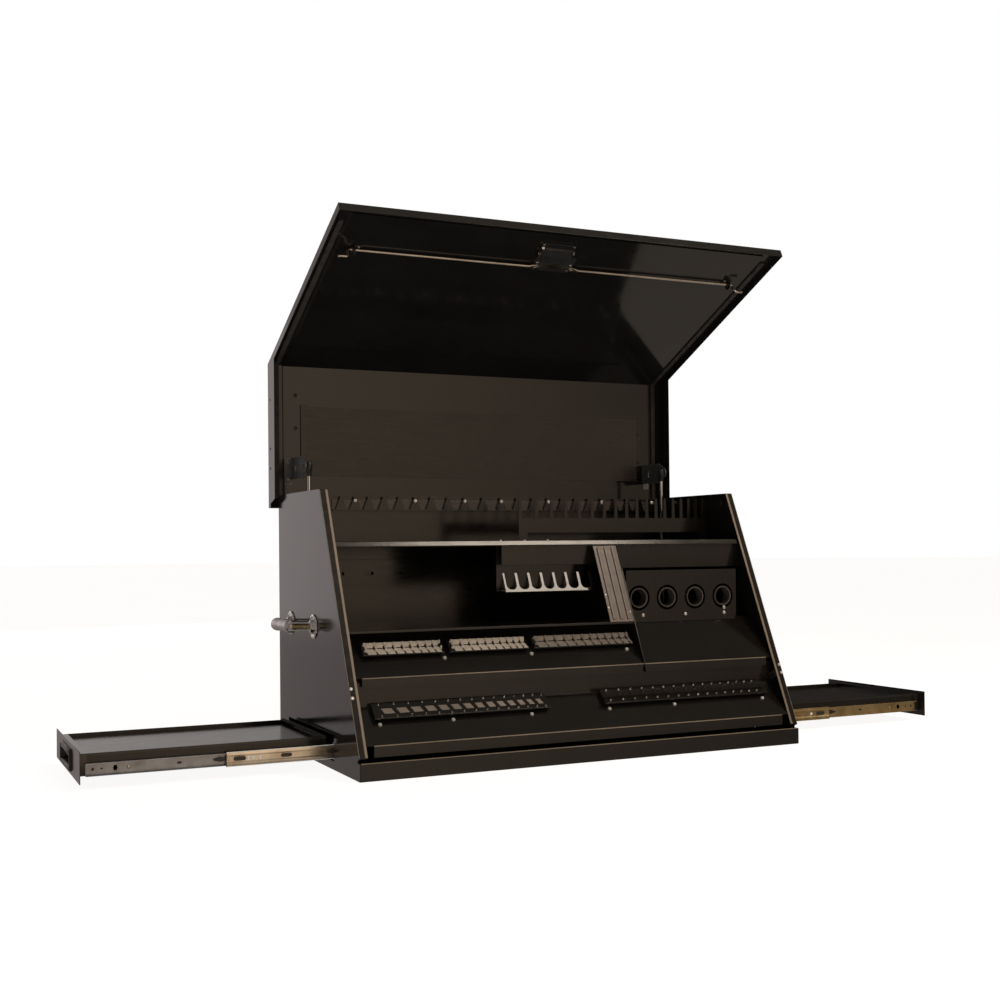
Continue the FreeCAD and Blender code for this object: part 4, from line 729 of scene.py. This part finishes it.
# ---------------------------------------------------------------- gas struts
for_cyl = Bld()
brk = Bld()
for sx, nm in ((-1, "left"), (1, "right")):
    X, Y, Z0 = sx * 413.0, 428.0, 150.0
    for_cyl.mi = 0
    for_cyl.lathe([(0, 13), (5.6, 13), (6.6, 15), (8.6, 18), (9.0, 21), (9.0, 214), (8.7, 218), (8.2, 219), (8.2, 221), (9.0, 222.5),
                   (9.0, 226), (8.4, 229), (6.4, 230.6), (4.3, 230.6), (4.3, 44), (0, 44)], (X, Y, Z0), (0, 0, 1), 32)
    for_cyl.mi = 1
    for_cyl.lathe([(0, -8), (6.0, -8), (7.0, -6.6), (7.0, 4.6), (6.0, 6.5), (4.6, 8.0), (4.6, 13.5), (0, 13.5)], (X, Y, Z0), (0, 0, 1), 20)
    b = Bld()
    b.mi = 0
    b.lathe([(0, 200), (3.6, 200), (3.9, 200.6), (3.9, 396.5), (0, 396.5)], (X, Y, Z0), (0, 0, 1), 24)
    b.mi = 1
    b.lathe([(0, 391), (4.6, 391), (5.2, 393), (5.2, 400), (6.8, 403.5), (7.2, 406), (7.2, 414), (6.2, 418), (3.6, 419.6), (0, 420)], (X, Y, Z0), (0, 0, 1), 24)
    b.mi = 2
    b.lathe([(0, 0), (3.2, 0), (3.2, 3.2), (4.0, 3.6), (4.0, 6.4), (0, 6.4)], (X + (3.6 if sx > 0 else -3.6), Y, 561.0), (sx, 0, 0), 18)
    make(nm + "_strut_piston", b, ["chrome", "plastic", "zinc"], nm + "_strut_rod", [nm + "_strut_rod"])
    HI = 455.5
    x0, x1 = sorted((sx * HI, sx * (HI - 2)))
    brk.mi = 0
    brk.plate(rrect(Y - 20, Z0 - 22, Y + 20, Z0 + 18, 7), [circ(Y - 13, Z0 - 15, 2.2, 14), circ(Y + 13, Z0 - 15, 2.2, 14), circ(Y - 13, Z0 + 11, 2.2, 14)], "YZ", x0, x1)
    brk.mi = 1
    brk.lathe([(5.4, 0), (6.2, 0.6), (6.2, 3.0), (4.0, 3.6), (4.0, 35.6), (0, 36.4)], (sx * (HI - 2), Y, Z0), (-sx, 0, 0), 20)
make("strut_tubes", for_cyl, ["strut_black", "plastic"], "case", ["strut_cylinders"])
make("strut_foot_brackets", brk, ["paint", "zinc"], "case", ["strut_lower_brackets"], 0.3)

b = Bld(LC)
ear_y = 988.0 - 561.0
for sx in (-1, 1):
    x0, x1 = sorted((sx * 420.0, sx * 422.0))
    prof = ([(ear_y + 22, 506.9), (ear_y + 22, 434), (ear_y + 20, 428)] + [(yy, zz) for yy, zz in arc(ear_y, 415.5, 11.5, 0, -180, 12)]
            + [(ear_y - 20, 428), (ear_y - 22, 434), (ear_y - 22, 506.9)])
    b.mi = 0
    b.plate(prof, [circ(ear_y, 416.0 - 4.0 + 0.0, 4.3, 18), slot_(ear_y - 8, 470, ear_y + 8, 480)], "YZ", x0, x1)
    f0, f1 = sorted((sx * 421.5, sx * 437.0))
    b.prism(rrect(f0, ear_y - 22, f1, ear_y + 34, 2.5), "XY", 505.0, 506.9)
    b.mi = 1
    for dy in (-12.0, 22.0):
        b.pan((sx * 430.0, ear_y + dy, 505.0), (0, 0, -1), 3.4, 2.2)
make("strut_ear_brackets", b, ["bracket", "zinc"], "lid", ["strut_lid_brackets"], 0.35)

# ---------------------------------------------------------------- telescopic slides
# Bay pieces are drawn in bay coordinates; BP puts them in place.
MIDY = (39.5 + 285.94) / 2.0


def BP(x, y, z):
    return P(x, 1.055 * y + 114.8, 1.055 * z - 21.6)



def on_side(poly, far):
    return [((2 * MIDY - y) if far else y, z) for y, z in poly]


CASE_PROF = bend([(38.1, 38.6), (36.6, 37.2), (30.0, 37.0), (27.6, 38.4), (27.0, 40.6), (27.0, 44.6), (28.6, 46.6), (28.6, 56.4),
                  (27.0, 58.4), (27.0, 62.4), (27.6, 64.6), (30.0, 66.0), (36.6, 65.8), (38.1, 64.4)][::-1], 1.1)
MID_PROF = bend([(38.0, 40.7), (36.8, 39.3), (31.6, 39.0), (29.8, 40.2), (29.3, 42.0), (29.3, 45.2), (31.2, 47.2), (31.2, 55.8),
                 (29.3, 57.8), (29.3, 61.0), (29.8, 62.8), (31.6, 64.0), (36.8, 63.7), (38.0, 62.3)][::-1], 1.1)


def channel_with_slots(b, prof_fn, x0, x1, far):
    b.prism(on_side(prof_fn, far), "YZ", x0, x1)


def web_dark(b, far, x0, z0, x1, z1, y_face, depth=0.35):
    """A punched opening shown as a shallow dark pocket."""
    ya, yb = y_face, y_face - depth
    if far:
        ya, yb = 2 * MIDY - ya, 2 * MIDY - yb
    lo, hi = min(ya, yb), max(ya, yb)
    b.prism(slot_(min(x0, x1), z0, max(x0, x1), z1, 5), "XZ", lo, hi)


for side, sg, ext, mid_ext in (("left", -1, 434.0, 193.0), ("right", 1, 452.0, 198.0)):
    face = sg * 455.0
    m_front = face + sg * mid_ext
    d_front = face + sg * (ext - 8.0)
    silver = "slide_inter_l" if side == "left" else "slide_gold"
    member = "slide_member_l" if side == "left" else "slide_gold"
    # intermediate members with ball cages, stops and holes
    b = Bld(BP)
    for far in (False, True):
        x0, x1 = sorted((m_front, m_front - sg * 440.0))
        b.mi = 0
        b.prism(on_side(MID_PROF, far), "YZ", x0, x1)
        # openings of the web, keyhole and oval
        for (d0, d1, z0, z1, k) in ((12, 34, 48.2, 55.4, 1), (44, 50, 49.0, 54.8, 2), (96, 116, 48.6, 55.0, 1), (180, 196, 49.4, 54.2, 1), (300, 322, 48.6, 55.0, 1)):
            b.mi = k
            web_dark(b, far, m_front - sg * d0, z0, m_front - sg * d1, z1, 31.2 - 0.02, 0.45)
        # nylon cage ends seen at the mouth of the member
        b.mi = 2
        for z0 in (41.2, 58.6):
            ya, yb = (31.6, 37.4) if not far else (2 * MIDY - 37.4, 2 * MIDY - 31.6)
            xa, xb = sorted((m_front - sg * 2.0, m_front - sg * 60.0))
            b.prism(rrect(ya, z0, yb, z0 + 3.0, 0.8, 3), "YZ", xa, xb)
        b.mi = 3
        for k in range(7):
            for z0 in (42.7, 60.1):
                yy = 34.5 if not far else 2 * MIDY - 34.5
                b.lathe([(0, -2.0), (1.1, -1.7), (1.8, -0.9), (2.0, 0), (1.8, 0.9), (1.1, 1.7), (0, 2.0)], (m_front - sg * (5 + 8.4 * k), yy, z0), (0, 0, 1), 10)
        # rolled lips along both edges, and the cage seen through the web; on the left slides the lips take a painted
        # highlight
        b.mi = 4
        xa, xb = sorted((m_front + sg * 0.1, m_front - sg * 439.0))
        for z0, z1 in ((39.3, 40.5), (62.5, 63.7)):
            ya, yb = (28.95, 29.6) if not far else (2 * MIDY - 29.6, 2 * MIDY - 28.95)
            b.prism(rrect(ya, z0, yb, z1, 0.28, 3), "YZ", xa, xb)
        for d0, d1 in ((58, 61), (37, 40)):
            xa, xb = sorted((m_front - sg * d0, m_front - sg * d1))
            ya, yb = (30.9, 31.3) if not far else (2 * MIDY - 31.3, 2 * MIDY - 30.9)
            b.prism([(xa, 48.4), (xb, 48.4), (xb, 55.2), (xa, 55.2)], "XZ", ya, yb)
        # rolled stop at the front end
        b.mi = 0
        ya = 30.1 if not far else 2 * MIDY - 31.5
        for zc in (50.0, 53.0):
            xa, xb = sorted((m_front + sg * 0.2, m_front - sg * 5.0))
            b.block(xa, ya, zc - 1.0, xb, ya + 1.4, zc + 1.0, 0.5, 2)
    make(side + "_intermediate_channels", b, [silver, "slot_dark", "nylon", "chrome", "lip_highlight_and_cage_white" if side == "left" else "slide_gold"], side + "_slide_intermediate", [side + "_slide_intermediates"], 0.18, 2, 40)
    # drawer members: flat web with turned edges, release lever, holes
    b = Bld(BP)
    for far in (False, True):
        x0, x1 = sorted((d_front, d_front - sg * 430.0))
        b.mi = 0
        prof = bend([(31.5, 42.6), (31.7, 41.5), (32.8, 41.0), (38.2, 41.0), (39.45, 42.2), (39.45, 60.8), (38.2, 62.0), (32.8, 62.0), (31.7, 61.5), (31.5, 60.4)], 1.05)
        b.prism(on_side(prof, far), "YZ", x0, x1)
        b.mi = 1
        for (d0, d1, z0, z1) in ((9, 14, 49.0, 54.0), (44, 52, 49.6, 53.6), (150, 158, 49.6, 53.6)):
            web_dark(b, far, d_front - sg * d0, z0, d_front - sg * d1, z1, 38.42, 0.4)
        web_dark(b, far, d_front - sg * 46, 47.6, d_front - sg * 50, 55.6, 38.40, 0.5)
        web_dark(b, far, d_front - sg * 24, 50.2, d_front - sg * 28, 53.0, 38.42, 0.3)
        # release lever close to the intermediate's mouth
        lv = abs(d_front - m_front)
        b.mi = 2
        ya, yb = (34.2, 37.6) if not far else (2 * MIDY - 37.6, 2 * MIDY - 34.2)
        xx = m_front + sg * 2.0
        poly = [(xx, 49.4), (xx + sg * 8, 48.2), (xx + sg * 17, 50.4), (xx + sg * 20, 52.0), (xx + sg * 17, 53.8), (xx + sg * 8, 55.6), (xx, 54.6), (xx - sg * 24, 53.2), (xx - sg * 24, 50.8)]
        b.prism(poly, "XZ", ya, yb)
        # rivets that hold it to the drawer wall
        b.mi = 3
        for d0 in (70, 250, 400):
            b.rivet((d_front - sg * d0, 38.4 if not far else 2 * MIDY - 38.4, 51.5), (0, -1 if not far else 1, 0), 3.2, 1.0)
    make(side + "_drawer_members", b, [member, "slot_dark", "plastic", "zinc"], side + "_drawer", [side + "_slide_drawer_members"], 0.18, 2, 40)

b = Bld(BP)
for sg in (-1, 1):
    for far in (False, True):
        x0, x1 = sorted((sg * 455.0, sg * 5.0))
        b.mi = 0
        b.prism(on_side(CASE_PROF, far), "YZ", x0, x1)
        b.mi = 1
        for d0 in (14, 52, 150, 270, 372):
            web_dark(b, far, sg * (455.0 - d0), 49.4, sg * (455.0 - d0 - 9), 53.6, 28.6 + 1.14, -0.3)
make("case_slide_members", b, ["slide_silver", "slot_dark"], "case", ["slide_case_members"], 0.18, 2, 40)

# ---------------------------------------------------------------- drawers: hems, back seal, front, finger pull
for side, sg, ext in (("left", -1, 434.0), ("right", 1, 452.0)):
    fin = sg * (457.5 + ext)
    back = fin - sg * 425.0
    b = Bld(BP)
    # folded hems along the tray's walls, in the lighter edge paint: a painted sheen
    x0, x1 = sorted((fin - sg * 12.5, back))
    for y0, y1 in ((39.5, 41.2), (284.2, 285.9)):
        ring = []
        for x in (x0, x1):
            ring.append([(x, y, z) for y, z in [(y0, 72.9), (y0 - 0.0, 76.2)] + arc((y0 + y1) / 2, 76.0, (y1 - y0) / 2, 180, 0, 6) + [(y1, 72.9)]])
        b.loft(ring)
    bx0, bx1 = sorted((back + sg * 0.0, back + sg * 2.6))
    # strip along the back edge in the painted highlight colour
    b.mi = 1
    b.prism([(41.4, 72.9), (41.4, 76.4), (42.4, 77.0), (282.6, 77.0), (283.6, 76.4), (283.6, 72.9)], "YZ", bx0, bx1)
    b.mi = 0
    # angle that joins the tray's wall to the front
    for y0, y1 in ((38.6, 40.0), (285.5, 286.9)):
        g0, g1 = sorted((fin - sg * 0.2, fin - sg * 12.6))
        b.prism(rrect(y0, 41.5, y1, 76.6, 0.5, 2), "YZ", g0, g1)
    make(side + "_tray_hems", b, ["paint_edge", "edge_highlight_paint"], side + "_drawer", (), 0.25)
    # soft buffer strip along the back of the drawer
    b = Bld(BP)
    bx0, bx1 = sorted((back + sg * 2.8, back + sg * 9.8))
    ring = []
    for yy, k in ((34.5, 0.7), (35.5, 1.0), (288.5, 1.0), (289.5, 0.7)):
        cx, cz = (bx0 + bx1) / 2, 76.2
        ring.append([(cx + 3.5 * k * math.cos(t), yy, 72.2 + (4.0 + 3.0 * math.sin(t)) * k) for t in [math.radians(-20 + 220 * i / 12) for i in range(13)]])
    make_ = b.loft(ring)
    make(side + "_back_buffer", b, ["foam"], side + "_drawer", (), 0.0)
    # front panel: flat sheet with the cut for the pull
    b = Bld(BP)
    f0, f1 = sorted((fin, fin + sg * 1.2))
    hole = [(127, 40), (249, 40), (249, 64), (244, 69), (132, 69), (127, 64)]
    b.plate(rrect(20, 31, 330, 82, 1.2, 3), [hole], "YZ", f0, f1)
    b.mi = 1
    for y, z in ((48, 66), (276, 66)):
        b.pan((fin - sg * 1.0, y, z), (-sg, 0, 0), 3.4, 2.0)
    # the front panel takes the lighter side paint, a painted sheen
    make(side + "_front_panel", b, ["paint_side", "zinc"], side + "_drawer", [side + "_drawer_front"], 0.35)
    # moulded pull: rim, deep dish with a finger roll along its top
    xf = fin + sg * 1.2
    b = Bld(BP)
    rim_o = [(123, 38), (128, 36), (248, 36), (253, 38), (253, 66), (246, 73), (130, 73), (123, 66)]
    rim_i = [(130, 45), (132, 43), (244, 43), (246, 45), (246, 62), (240, 67), (136, 67), (130, 62)]

    def shrink(poly, k, c=(188.0, 54.5)):
        return [(c[0] + (y - c[0]) * (1 - k / 65.0), c[1] + (z - c[1]) * (1 - k / 18.5)) for y, z in poly]
    rings = []
    for poly, x in ((rim_o, 0.0), (rim_o, 1.6), (shrink(rim_o, 1.2), 3.2), (shrink(rim_o, 2.4), 4.0), (shrink(rim_i, -1.6), 4.0),
                    (shrink(rim_i, 0.0), 2.8), (shrink(rim_i, 0.6), -3.0), (shrink(rim_i, 2.2), -8.6), (shrink(rim_i, 5.0), -9.6)):
        rings.append([(xf + sg * x, y, z) for y, z in poly])
    b.loft(rings, False, True)
    rings = []
    for poly, x in ((rim_o, 0.0), (shrink(rim_i, -1.2), -0.6), (shrink(rim_i, -0.6), -3.0), (shrink(rim_i, 1.0), -9.4), (shrink(rim_i, 4.0), -10.6)):
        rings.append([(xf + sg * x, y, z) for y, z in poly])
    b.loft(rings, False, True)
    ring = []
    for y in (136.0, 137.5, 238.5, 240.0):
        k = 0.6 if y in (136.0, 240.0) else 1.0
        ring.append([(xf + sg * (1.2 + 2.6 * k * math.cos(t)), y, 64.6 + 2.4 * k * math.sin(t)) for t in [i / 12 * math.tau for i in range(12)]])
    b.loft(ring)
    make(side + "_finger_pull", b, ["plastic"], side + "_drawer", [side + "_drawer_pull"], 0.5, 2, 40)

# ---------------------------------------------------------------- side handles
fl, ar, gr = Bld(), Bld(), Bld()
for sx in (-1, 1):
    for y in (258.0, 408.0):
        wave = lambda t, r: 0.030 * math.cos(14 * t) if r > 18 else 0.0
        fl.mi = 0
        fl.lathe([(0, 0), (22.4, 0), (23.0, 0.8), (22.6, 2.0), (20.6, 3.0), (18.4, 3.1), (17.6, 2.6), (14.6, 2.8), (13.8, 3.6), (12.4, 5.4),
                  (11.0, 7.6), (9.6, 8.8), (0, 9.0)], (sx * 457.0, y, 250.0), (sx, 0, 0), 56, wave)
        fl.mi = 1
        for k in range(4):
            t = math.radians(45 + 90 * k)
            fl.pan((sx * 459.6, y + 16.2 * math.cos(t), 250.0 + 16.2 * math.sin(t)), (sx, 0, 0), 2.9, 1.8)
    xg = 493.0
    for y0, y1 in ((258.0, 282.0), (408.0, 388.0)):
        q = (xg - 459.0, y1 - y0)
        ln = math.hypot(*q)
        ux, uy = q[0] / ln, q[1] / ln
        nx_, ny_ = -uy, ux
        ar.mi = 0
        for z0, z1 in ((241.6, 244.4), (255.6, 258.4)):
            poly = []
            for s_, w_ in ((2.0, 6.0), (ln * 0.5, 5.0), (ln + 2.0, 6.4), (ln + 7.0, 3.4)):
                poly.append((459.0 + ux * s_ + nx_ * w_, y0 + uy * s_ + ny_ * w_))
            for s_, w_ in ((ln + 7.0, -3.4), (ln + 2.0, -6.4), (ln * 0.5, -5.0), (2.0, -6.0)):
                poly.append((459.0 + ux * s_ + nx_ * w_, y0 + uy * s_ + ny_ * w_))
            ar.prism([(sx * x, y) for x, y in poly], "XY", z0, z1)
        ar.mi = 1
        o = (sx * (459.0 + ux * 4.0), y0 + uy * 4.0, 250.0)
        ar.lathe([(0, 0), (4.9, 0), (4.9, 2.0), (4.2, 2.6), (4.2, ln - 12.0), (4.9, ln - 11.4), (4.9, ln - 8.4), (3.6, ln - 7.6), (3.4, ln - 8.6), (1.2, ln - 8.6), (0, ln - 8.8)],
                 o, (sx * ux, uy, 0), 22)
    gy0, gy1 = 282.0, 388.0
    prof = [(0, gy0 - 4.0), (4.5, gy0 - 3.6), (8.6, gy0 - 1.6), (11.2, gy0 + 1.6), (12.3, gy0 + 5.6), (12.5, gy0 + 12.0), (11.4, gy0 + 30.0), (11.0, (gy0 + gy1) / 2),
            (11.4, gy1 - 30.0), (12.5, gy1 - 12.0), (12.3, gy1 - 5.6), (11.2, gy1 - 1.6), (8.6, gy1 + 1.6), (4.5, gy1 + 3.6), (0, gy1 + 4.0)]
    gr.lathe([(r, h - 335.0) for r, h in prof], (sx * xg, 335.0, 250.0), (0, 1, 0), 36)
make("handle_rosettes", fl, ["chrome", "zinc"], "case", ["handle_flanges"], 0.0, 2, 40)
make("handle_arms", ar, ["chrome", "brass_zinc"], "case", ["handle_bars"], 0.45, 3, 40)
make("handle_grip_bars", gr, ["satin"], "case", ["handle_grips"], 0.0, 2, 60)


# ---------------------------------------------------------------- socket rails: strip, slotted blades, pegs
def graded(x0, first, ratio, x_end):
    xs, p = [x0], first
    while xs[-1] + p <= x_end:
        xs.append(xs[-1] + p)
        p *= ratio
    return xs


def tray_quad(front, a0, a1, n0, n1):
    return [on_tray(front, a0, n0), on_tray(front, a1, n0), on_tray(front, a1, n1), on_tray(front, a0, n1)]


def rail(b, front, x0, x1, a0, a1, rows, top, pins, xs, slot, lean=0.0, ps=(1.0, 1.0)):
    # strip with turned edges, on two legs
    b.mi = 0
    b.prism([on_tray(front, a, n) for a, n in bend([(a0, 7.4), (a0, 9.2), (a0 + 0.9, 10.1), (a1 - 0.9, 10.1), (a1, 9.2), (a1, 7.4)], -1.1)], "YZ", x0, x1)
    for xa, xb in ((x0, x0 + 1.2), (x1 - 1.2, x1)):
        b.prism(tray_quad(front, a0 + 2, a1 - 2, 0.0, 9.2), "YZ", xa, xb)
    # blades with a tooth between neighbouring gaps; each tooth has clipped corners
    edges = [x0 + 0.5] + [(p + q) / 2.0 for p, q in zip(xs[:-1], xs[1:])] + [x1 - 0.5]
    for ri, a in enumerate(rows):
        b.mi = 1
        q = tray_quad(front, a, a + 1.2, 10.0, 12.6)
        b.prism(q, "YZ", x0 + 0.5, x1 - 0.5)
        for i in range(len(edges) - 1):
            t0 = edges[i] + (slot / 2 if i else 0.0)
            t1 = edges[i + 1] - (slot / 2 if i < len(edges) - 2 else 0.0)
            if t1 - t0 < 2.5:
                continue
            c = min(2.2, (t1 - t0) * 0.25)
            tooth = [(t0, 12.4), (t1, 12.4), (t1, top - c), (t1 - c * 0.4, top - c * 0.35), (t1 - c, top), (t0 + c, top), (t0 + c * 0.4, top - c * 0.35), (t0, top - c)]
            r0 = [(x + lean * (n - 12.4),) + on_tray(front, a, n) for x, n in tooth]
            r1 = [(x + lean * (n - 12.4),) + on_tray(front, a + 1.2, n) for x, n in tooth]
            b.loft([r0, r1])
    b.mi = 2
    for x in xs:
        for a in pins:
            p = on_tray(front, a, 10.1)
            b.lathe([(r * ps[0], h * ps[1]) for r, h in ((3.2, 0), (3.2, 0.8), (2.1, 1.4), (2.0, 7.6), (1.6, 8.8), (0.8, 9.4), (0, 9.4))], (x, p[0], p[1]), (0, SN[0], SN[1]), 12)


def cells(b, front, xs, rows, gap, mi=1):
    # the cells take the light cell colours: painted highlights
    b.mi = mi
    for ri, (a0, a1) in enumerate(rows):
        for p, q in zip(xs[:-1], xs[1:]):
            if q - p < gap + 2.5:
                continue
            lean = 2.2 * (1 if ri % 2 == 0 else -1)
            quad = [(p + gap / 2 + lean, a0), (q - gap / 2 + lean, a0), (q - gap / 2 - lean, a1), (p + gap / 2 - lean, a1)]
            quad = [(min(max(x, xs[0]), xs[-1]), a) for x, a in quad]
            c = [sum(v[i] for v in quad) / 4.0 for i in (0, 1)]
            rings = []
            for k, n in ((1.0, 10.0), (1.0, 11.2), (0.9, 11.6)):
                rings.append([((c[0] + (x - c[0]) * k),) + on_tray(front, c[1] + (a - c[1]) * k, n) for x, a in quad])
            b.loft(rings)


b = Bld()
rail(b, LOW, -414, -74, 50, 84, (), 25, (54.0, 80.5), graded(-401.0, 28.3, 0.9655, -80.0), 3.0, 0.0, (0.5, 0.34))
cells(b, LOW, [-412.0] + graded(-401.0, 28.3, 0.9655, -80.0) + [-76.0], ((60.0, 71.0),), 9.0)
make("lower_rail_strips", b, ["paint", "cell_dim", "peg"], "case", ["lower_socket_rails"], 0.25)
b = Bld()
rail(b, LOW, 43, 414, 50, 84, (64.4,), 25, (57.0, 81.0), graded(56.0, 27.0, 0.972, 408.0), 3.0, 0.0, (0.6, 0.28))
make("lower_rail_strip_right", b, ["paint", "rail_dark", "peg"], "case", (), 0.25)
b = Bld()
for x0, x1, xs in ((-418, -264, graded(-412.0, 19.5, 0.95, -266.0)), (-251, -92, graded(-244.0, 18.5, 0.955, -96.0)), (-80, 134, graded(-74.0, 22.0, 0.96, 130.0))):
    rail(b, MID, x0, x1, 44, 74, (), 17.5, (), xs, 4.4)
    # two rows of raised, slanted cells, coloured as painted highlights
    cells(b, MID, [x0 + 1.5] + [x for x in xs] + [x1 - 1.5], ((45.4, 57.6), (60.4, 72.6)), 3.6, 3 if x0 > -100 else 1)
    for x in xs:
        for a in (54.0, 68.0):
            p = on_tray(MID, a, 10.1)
            b.lathe([(2.6, 0), (2.6, 0.6), (1.7, 1.2), (1.6, 5.4), (1.1, 6.4), (0, 6.6)], (x, p[0], p[1]), (0, SN[0], SN[1]), 12)
make("middle_rail_strips", b, ["paint", "cell", "peg", "cell_mid"], "case", ["middle_socket_rails"], 0.25)

# ---------------------------------------------------------------- floor, lights
fm, nt, bs = mat("floor_pale")
v = coords(nt)
nt.links.new(ramp(nt, noise(nt, v, 2.0, 3.0), [(0.3, (0.30, 0.30, 0.30)), (0.7, (0.34, 0.34, 0.335))]), bs.inputs["Base Color"])
bs.inputs["Roughness"].default_value = 0.75
bs.inputs["Specular IOR Level"].default_value = 0.2
bs.inputs["Emission Color"].default_value = (1.0, 0.99, 0.98, 1.0)
bs.inputs["Emission Strength"].default_value = 0.93
bm = bmesh.new()
ring0 = [bm.verts.new((40 * math.cos(a), 40 * math.sin(a), -0.0006)) for a in [i / 64 * math.tau for i in range(64)]]
bm.faces.new(ring0)
me = bpy.data.meshes.new("floor")
bm.to_mesh(me)
bm.free()
floor = bpy.data.objects.new("floor", me)
SC.collection.objects.link(floor)
me.materials.append(fm)
floor.visible_glossy = False

world = bpy.data.worlds.new("world")
SC.world = world
world.use_nodes = True
wn = world.node_tree
for n in list(wn.nodes):
    wn.nodes.remove(n)
wout = wn.nodes.new("ShaderNodeOutputWorld")
tc = wn.nodes.new("ShaderNodeTexCoord")


def lobe(axis, power, colour, k):
    """A soft glow round one direction of the studio."""
    a = Vector(axis).normalized()
    d = wn.nodes.new("ShaderNodeVectorMath")
    d.operation = "DOT_PRODUCT"
    wn.links.new(tc.outputs["Generated"], d.inputs[0])
    d.inputs[1].default_value = a
    p = math_n(wn, "POWER", math_n(wn, "MAXIMUM", d.outputs["Value"], 0.0), power)
    q = math_n(wn, "MULTIPLY", p, k)
    v2 = wn.nodes.new("ShaderNodeVectorMath")
    v2.operation = "SCALE"
    v2.inputs[0].default_value = colour
    wn.links.new(q, v2.inputs["Scale"])
    return v2.outputs[0]


def az_el(az, el):
    """Direction az degrees from the front towards the right, el degrees up."""
    a, e = math.radians(az), math.radians(el)
    return (math.sin(a) * math.cos(e), -math.cos(a) * math.cos(e), math.sin(e))


lobes = [
    lobe(az_el(12, 6), 14.0, (1.0, 0.76, 0.54), 0.95),        # warm front glow
    lobe((0, 0, -1), 1.5, (1.0, 0.84, 0.70), 0.42),           # floor bounce
    lobe(az_el(196, 8), 10.0, (1.0, 0.885, 0.87), 0.40),       # pale wall behind, to the left
    lobe(az_el(10, 60), 6.0, (1.0, 0.86, 0.72), 0.35),        # ceiling above the front
    lobe(az_el(-90, 10), 3.0, (1.0, 0.93, 0.90), 0.20),       # left
]
tot = lobes[0]
for lb in lobes[1:]:
    ad = wn.nodes.new("ShaderNodeVectorMath")
    ad.operation = "ADD"
    wn.links.new(tot, ad.inputs[0])
    wn.links.new(lb, ad.inputs[1])
    tot = ad.outputs[0]
ad = wn.nodes.new("ShaderNodeVectorMath")
ad.operation = "ADD"
wn.links.new(tot, ad.inputs[0])
ad.inputs[1].default_value = (0.034, 0.029, 0.026)
bg_light = wn.nodes.new("ShaderNodeBackground")
wn.links.new(ad.outputs[0], bg_light.inputs[0])
bg_white = wn.nodes.new("ShaderNodeBackground")
bg_white.inputs[0].default_value = (1.0, 1.0, 1.0, 1.0)
lp = wn.nodes.new("ShaderNodeLightPath")
mixw = wn.nodes.new("ShaderNodeMixShader")
wn.links.new(lp.outputs["Is Camera Ray"], mixw.inputs[0])
wn.links.new(bg_light.outputs[0], mixw.inputs[1])
wn.links.new(bg_white.outputs[0], mixw.inputs[2])
wn.links.new(mixw.outputs[0], wout.inputs[0])


def area(name, loc, target, size, radiance, colour=(1, 1, 1)):
    d = bpy.data.lights.new(name, "AREA")
    d.shape = "RECTANGLE"
    d.size, d.size_y = size
    d.energy = radiance * math.pi * size[0] * size[1]
    d.color = colour
    o = bpy.data.objects.new(name, d)
    SC.collection.objects.link(o)
    o.location = loc
    o.rotation_euler = (Vector(target) - Vector(loc)).to_track_quat("-Z", "Y").to_euler()
    o.visible_camera = False
    return o


def at(az, el, r, z0=0.3):
    return Vector(az_el(az, el)) * r + Vector((0, 0, z0))


area("key", (1.20, -1.82, 2.36), (0, 0, 0.35), (0.86, 0.85), 11.5, (1.0, 0.86, 0.71))
area("back_card", at(190, 6, 4.6), (0, 0, 0.3), (3.6, 1.6), 0.32, (1.0, 0.95, 0.93))
area("top", (0.1, 0.5, 3.2), (0, 0, 0.3), (1.6, 1.2), 1.5, (1.0, 0.93, 0.86))
area("right_rim", at(74, 30, 3.4), (0, 0, 0.3), (0.5, 1.2), 1.3, (1.0, 0.90, 0.80))

SC.view_settings.view_transform = "Standard"
SC.view_settings.look = "None"
SC.view_settings.exposure = 0.0
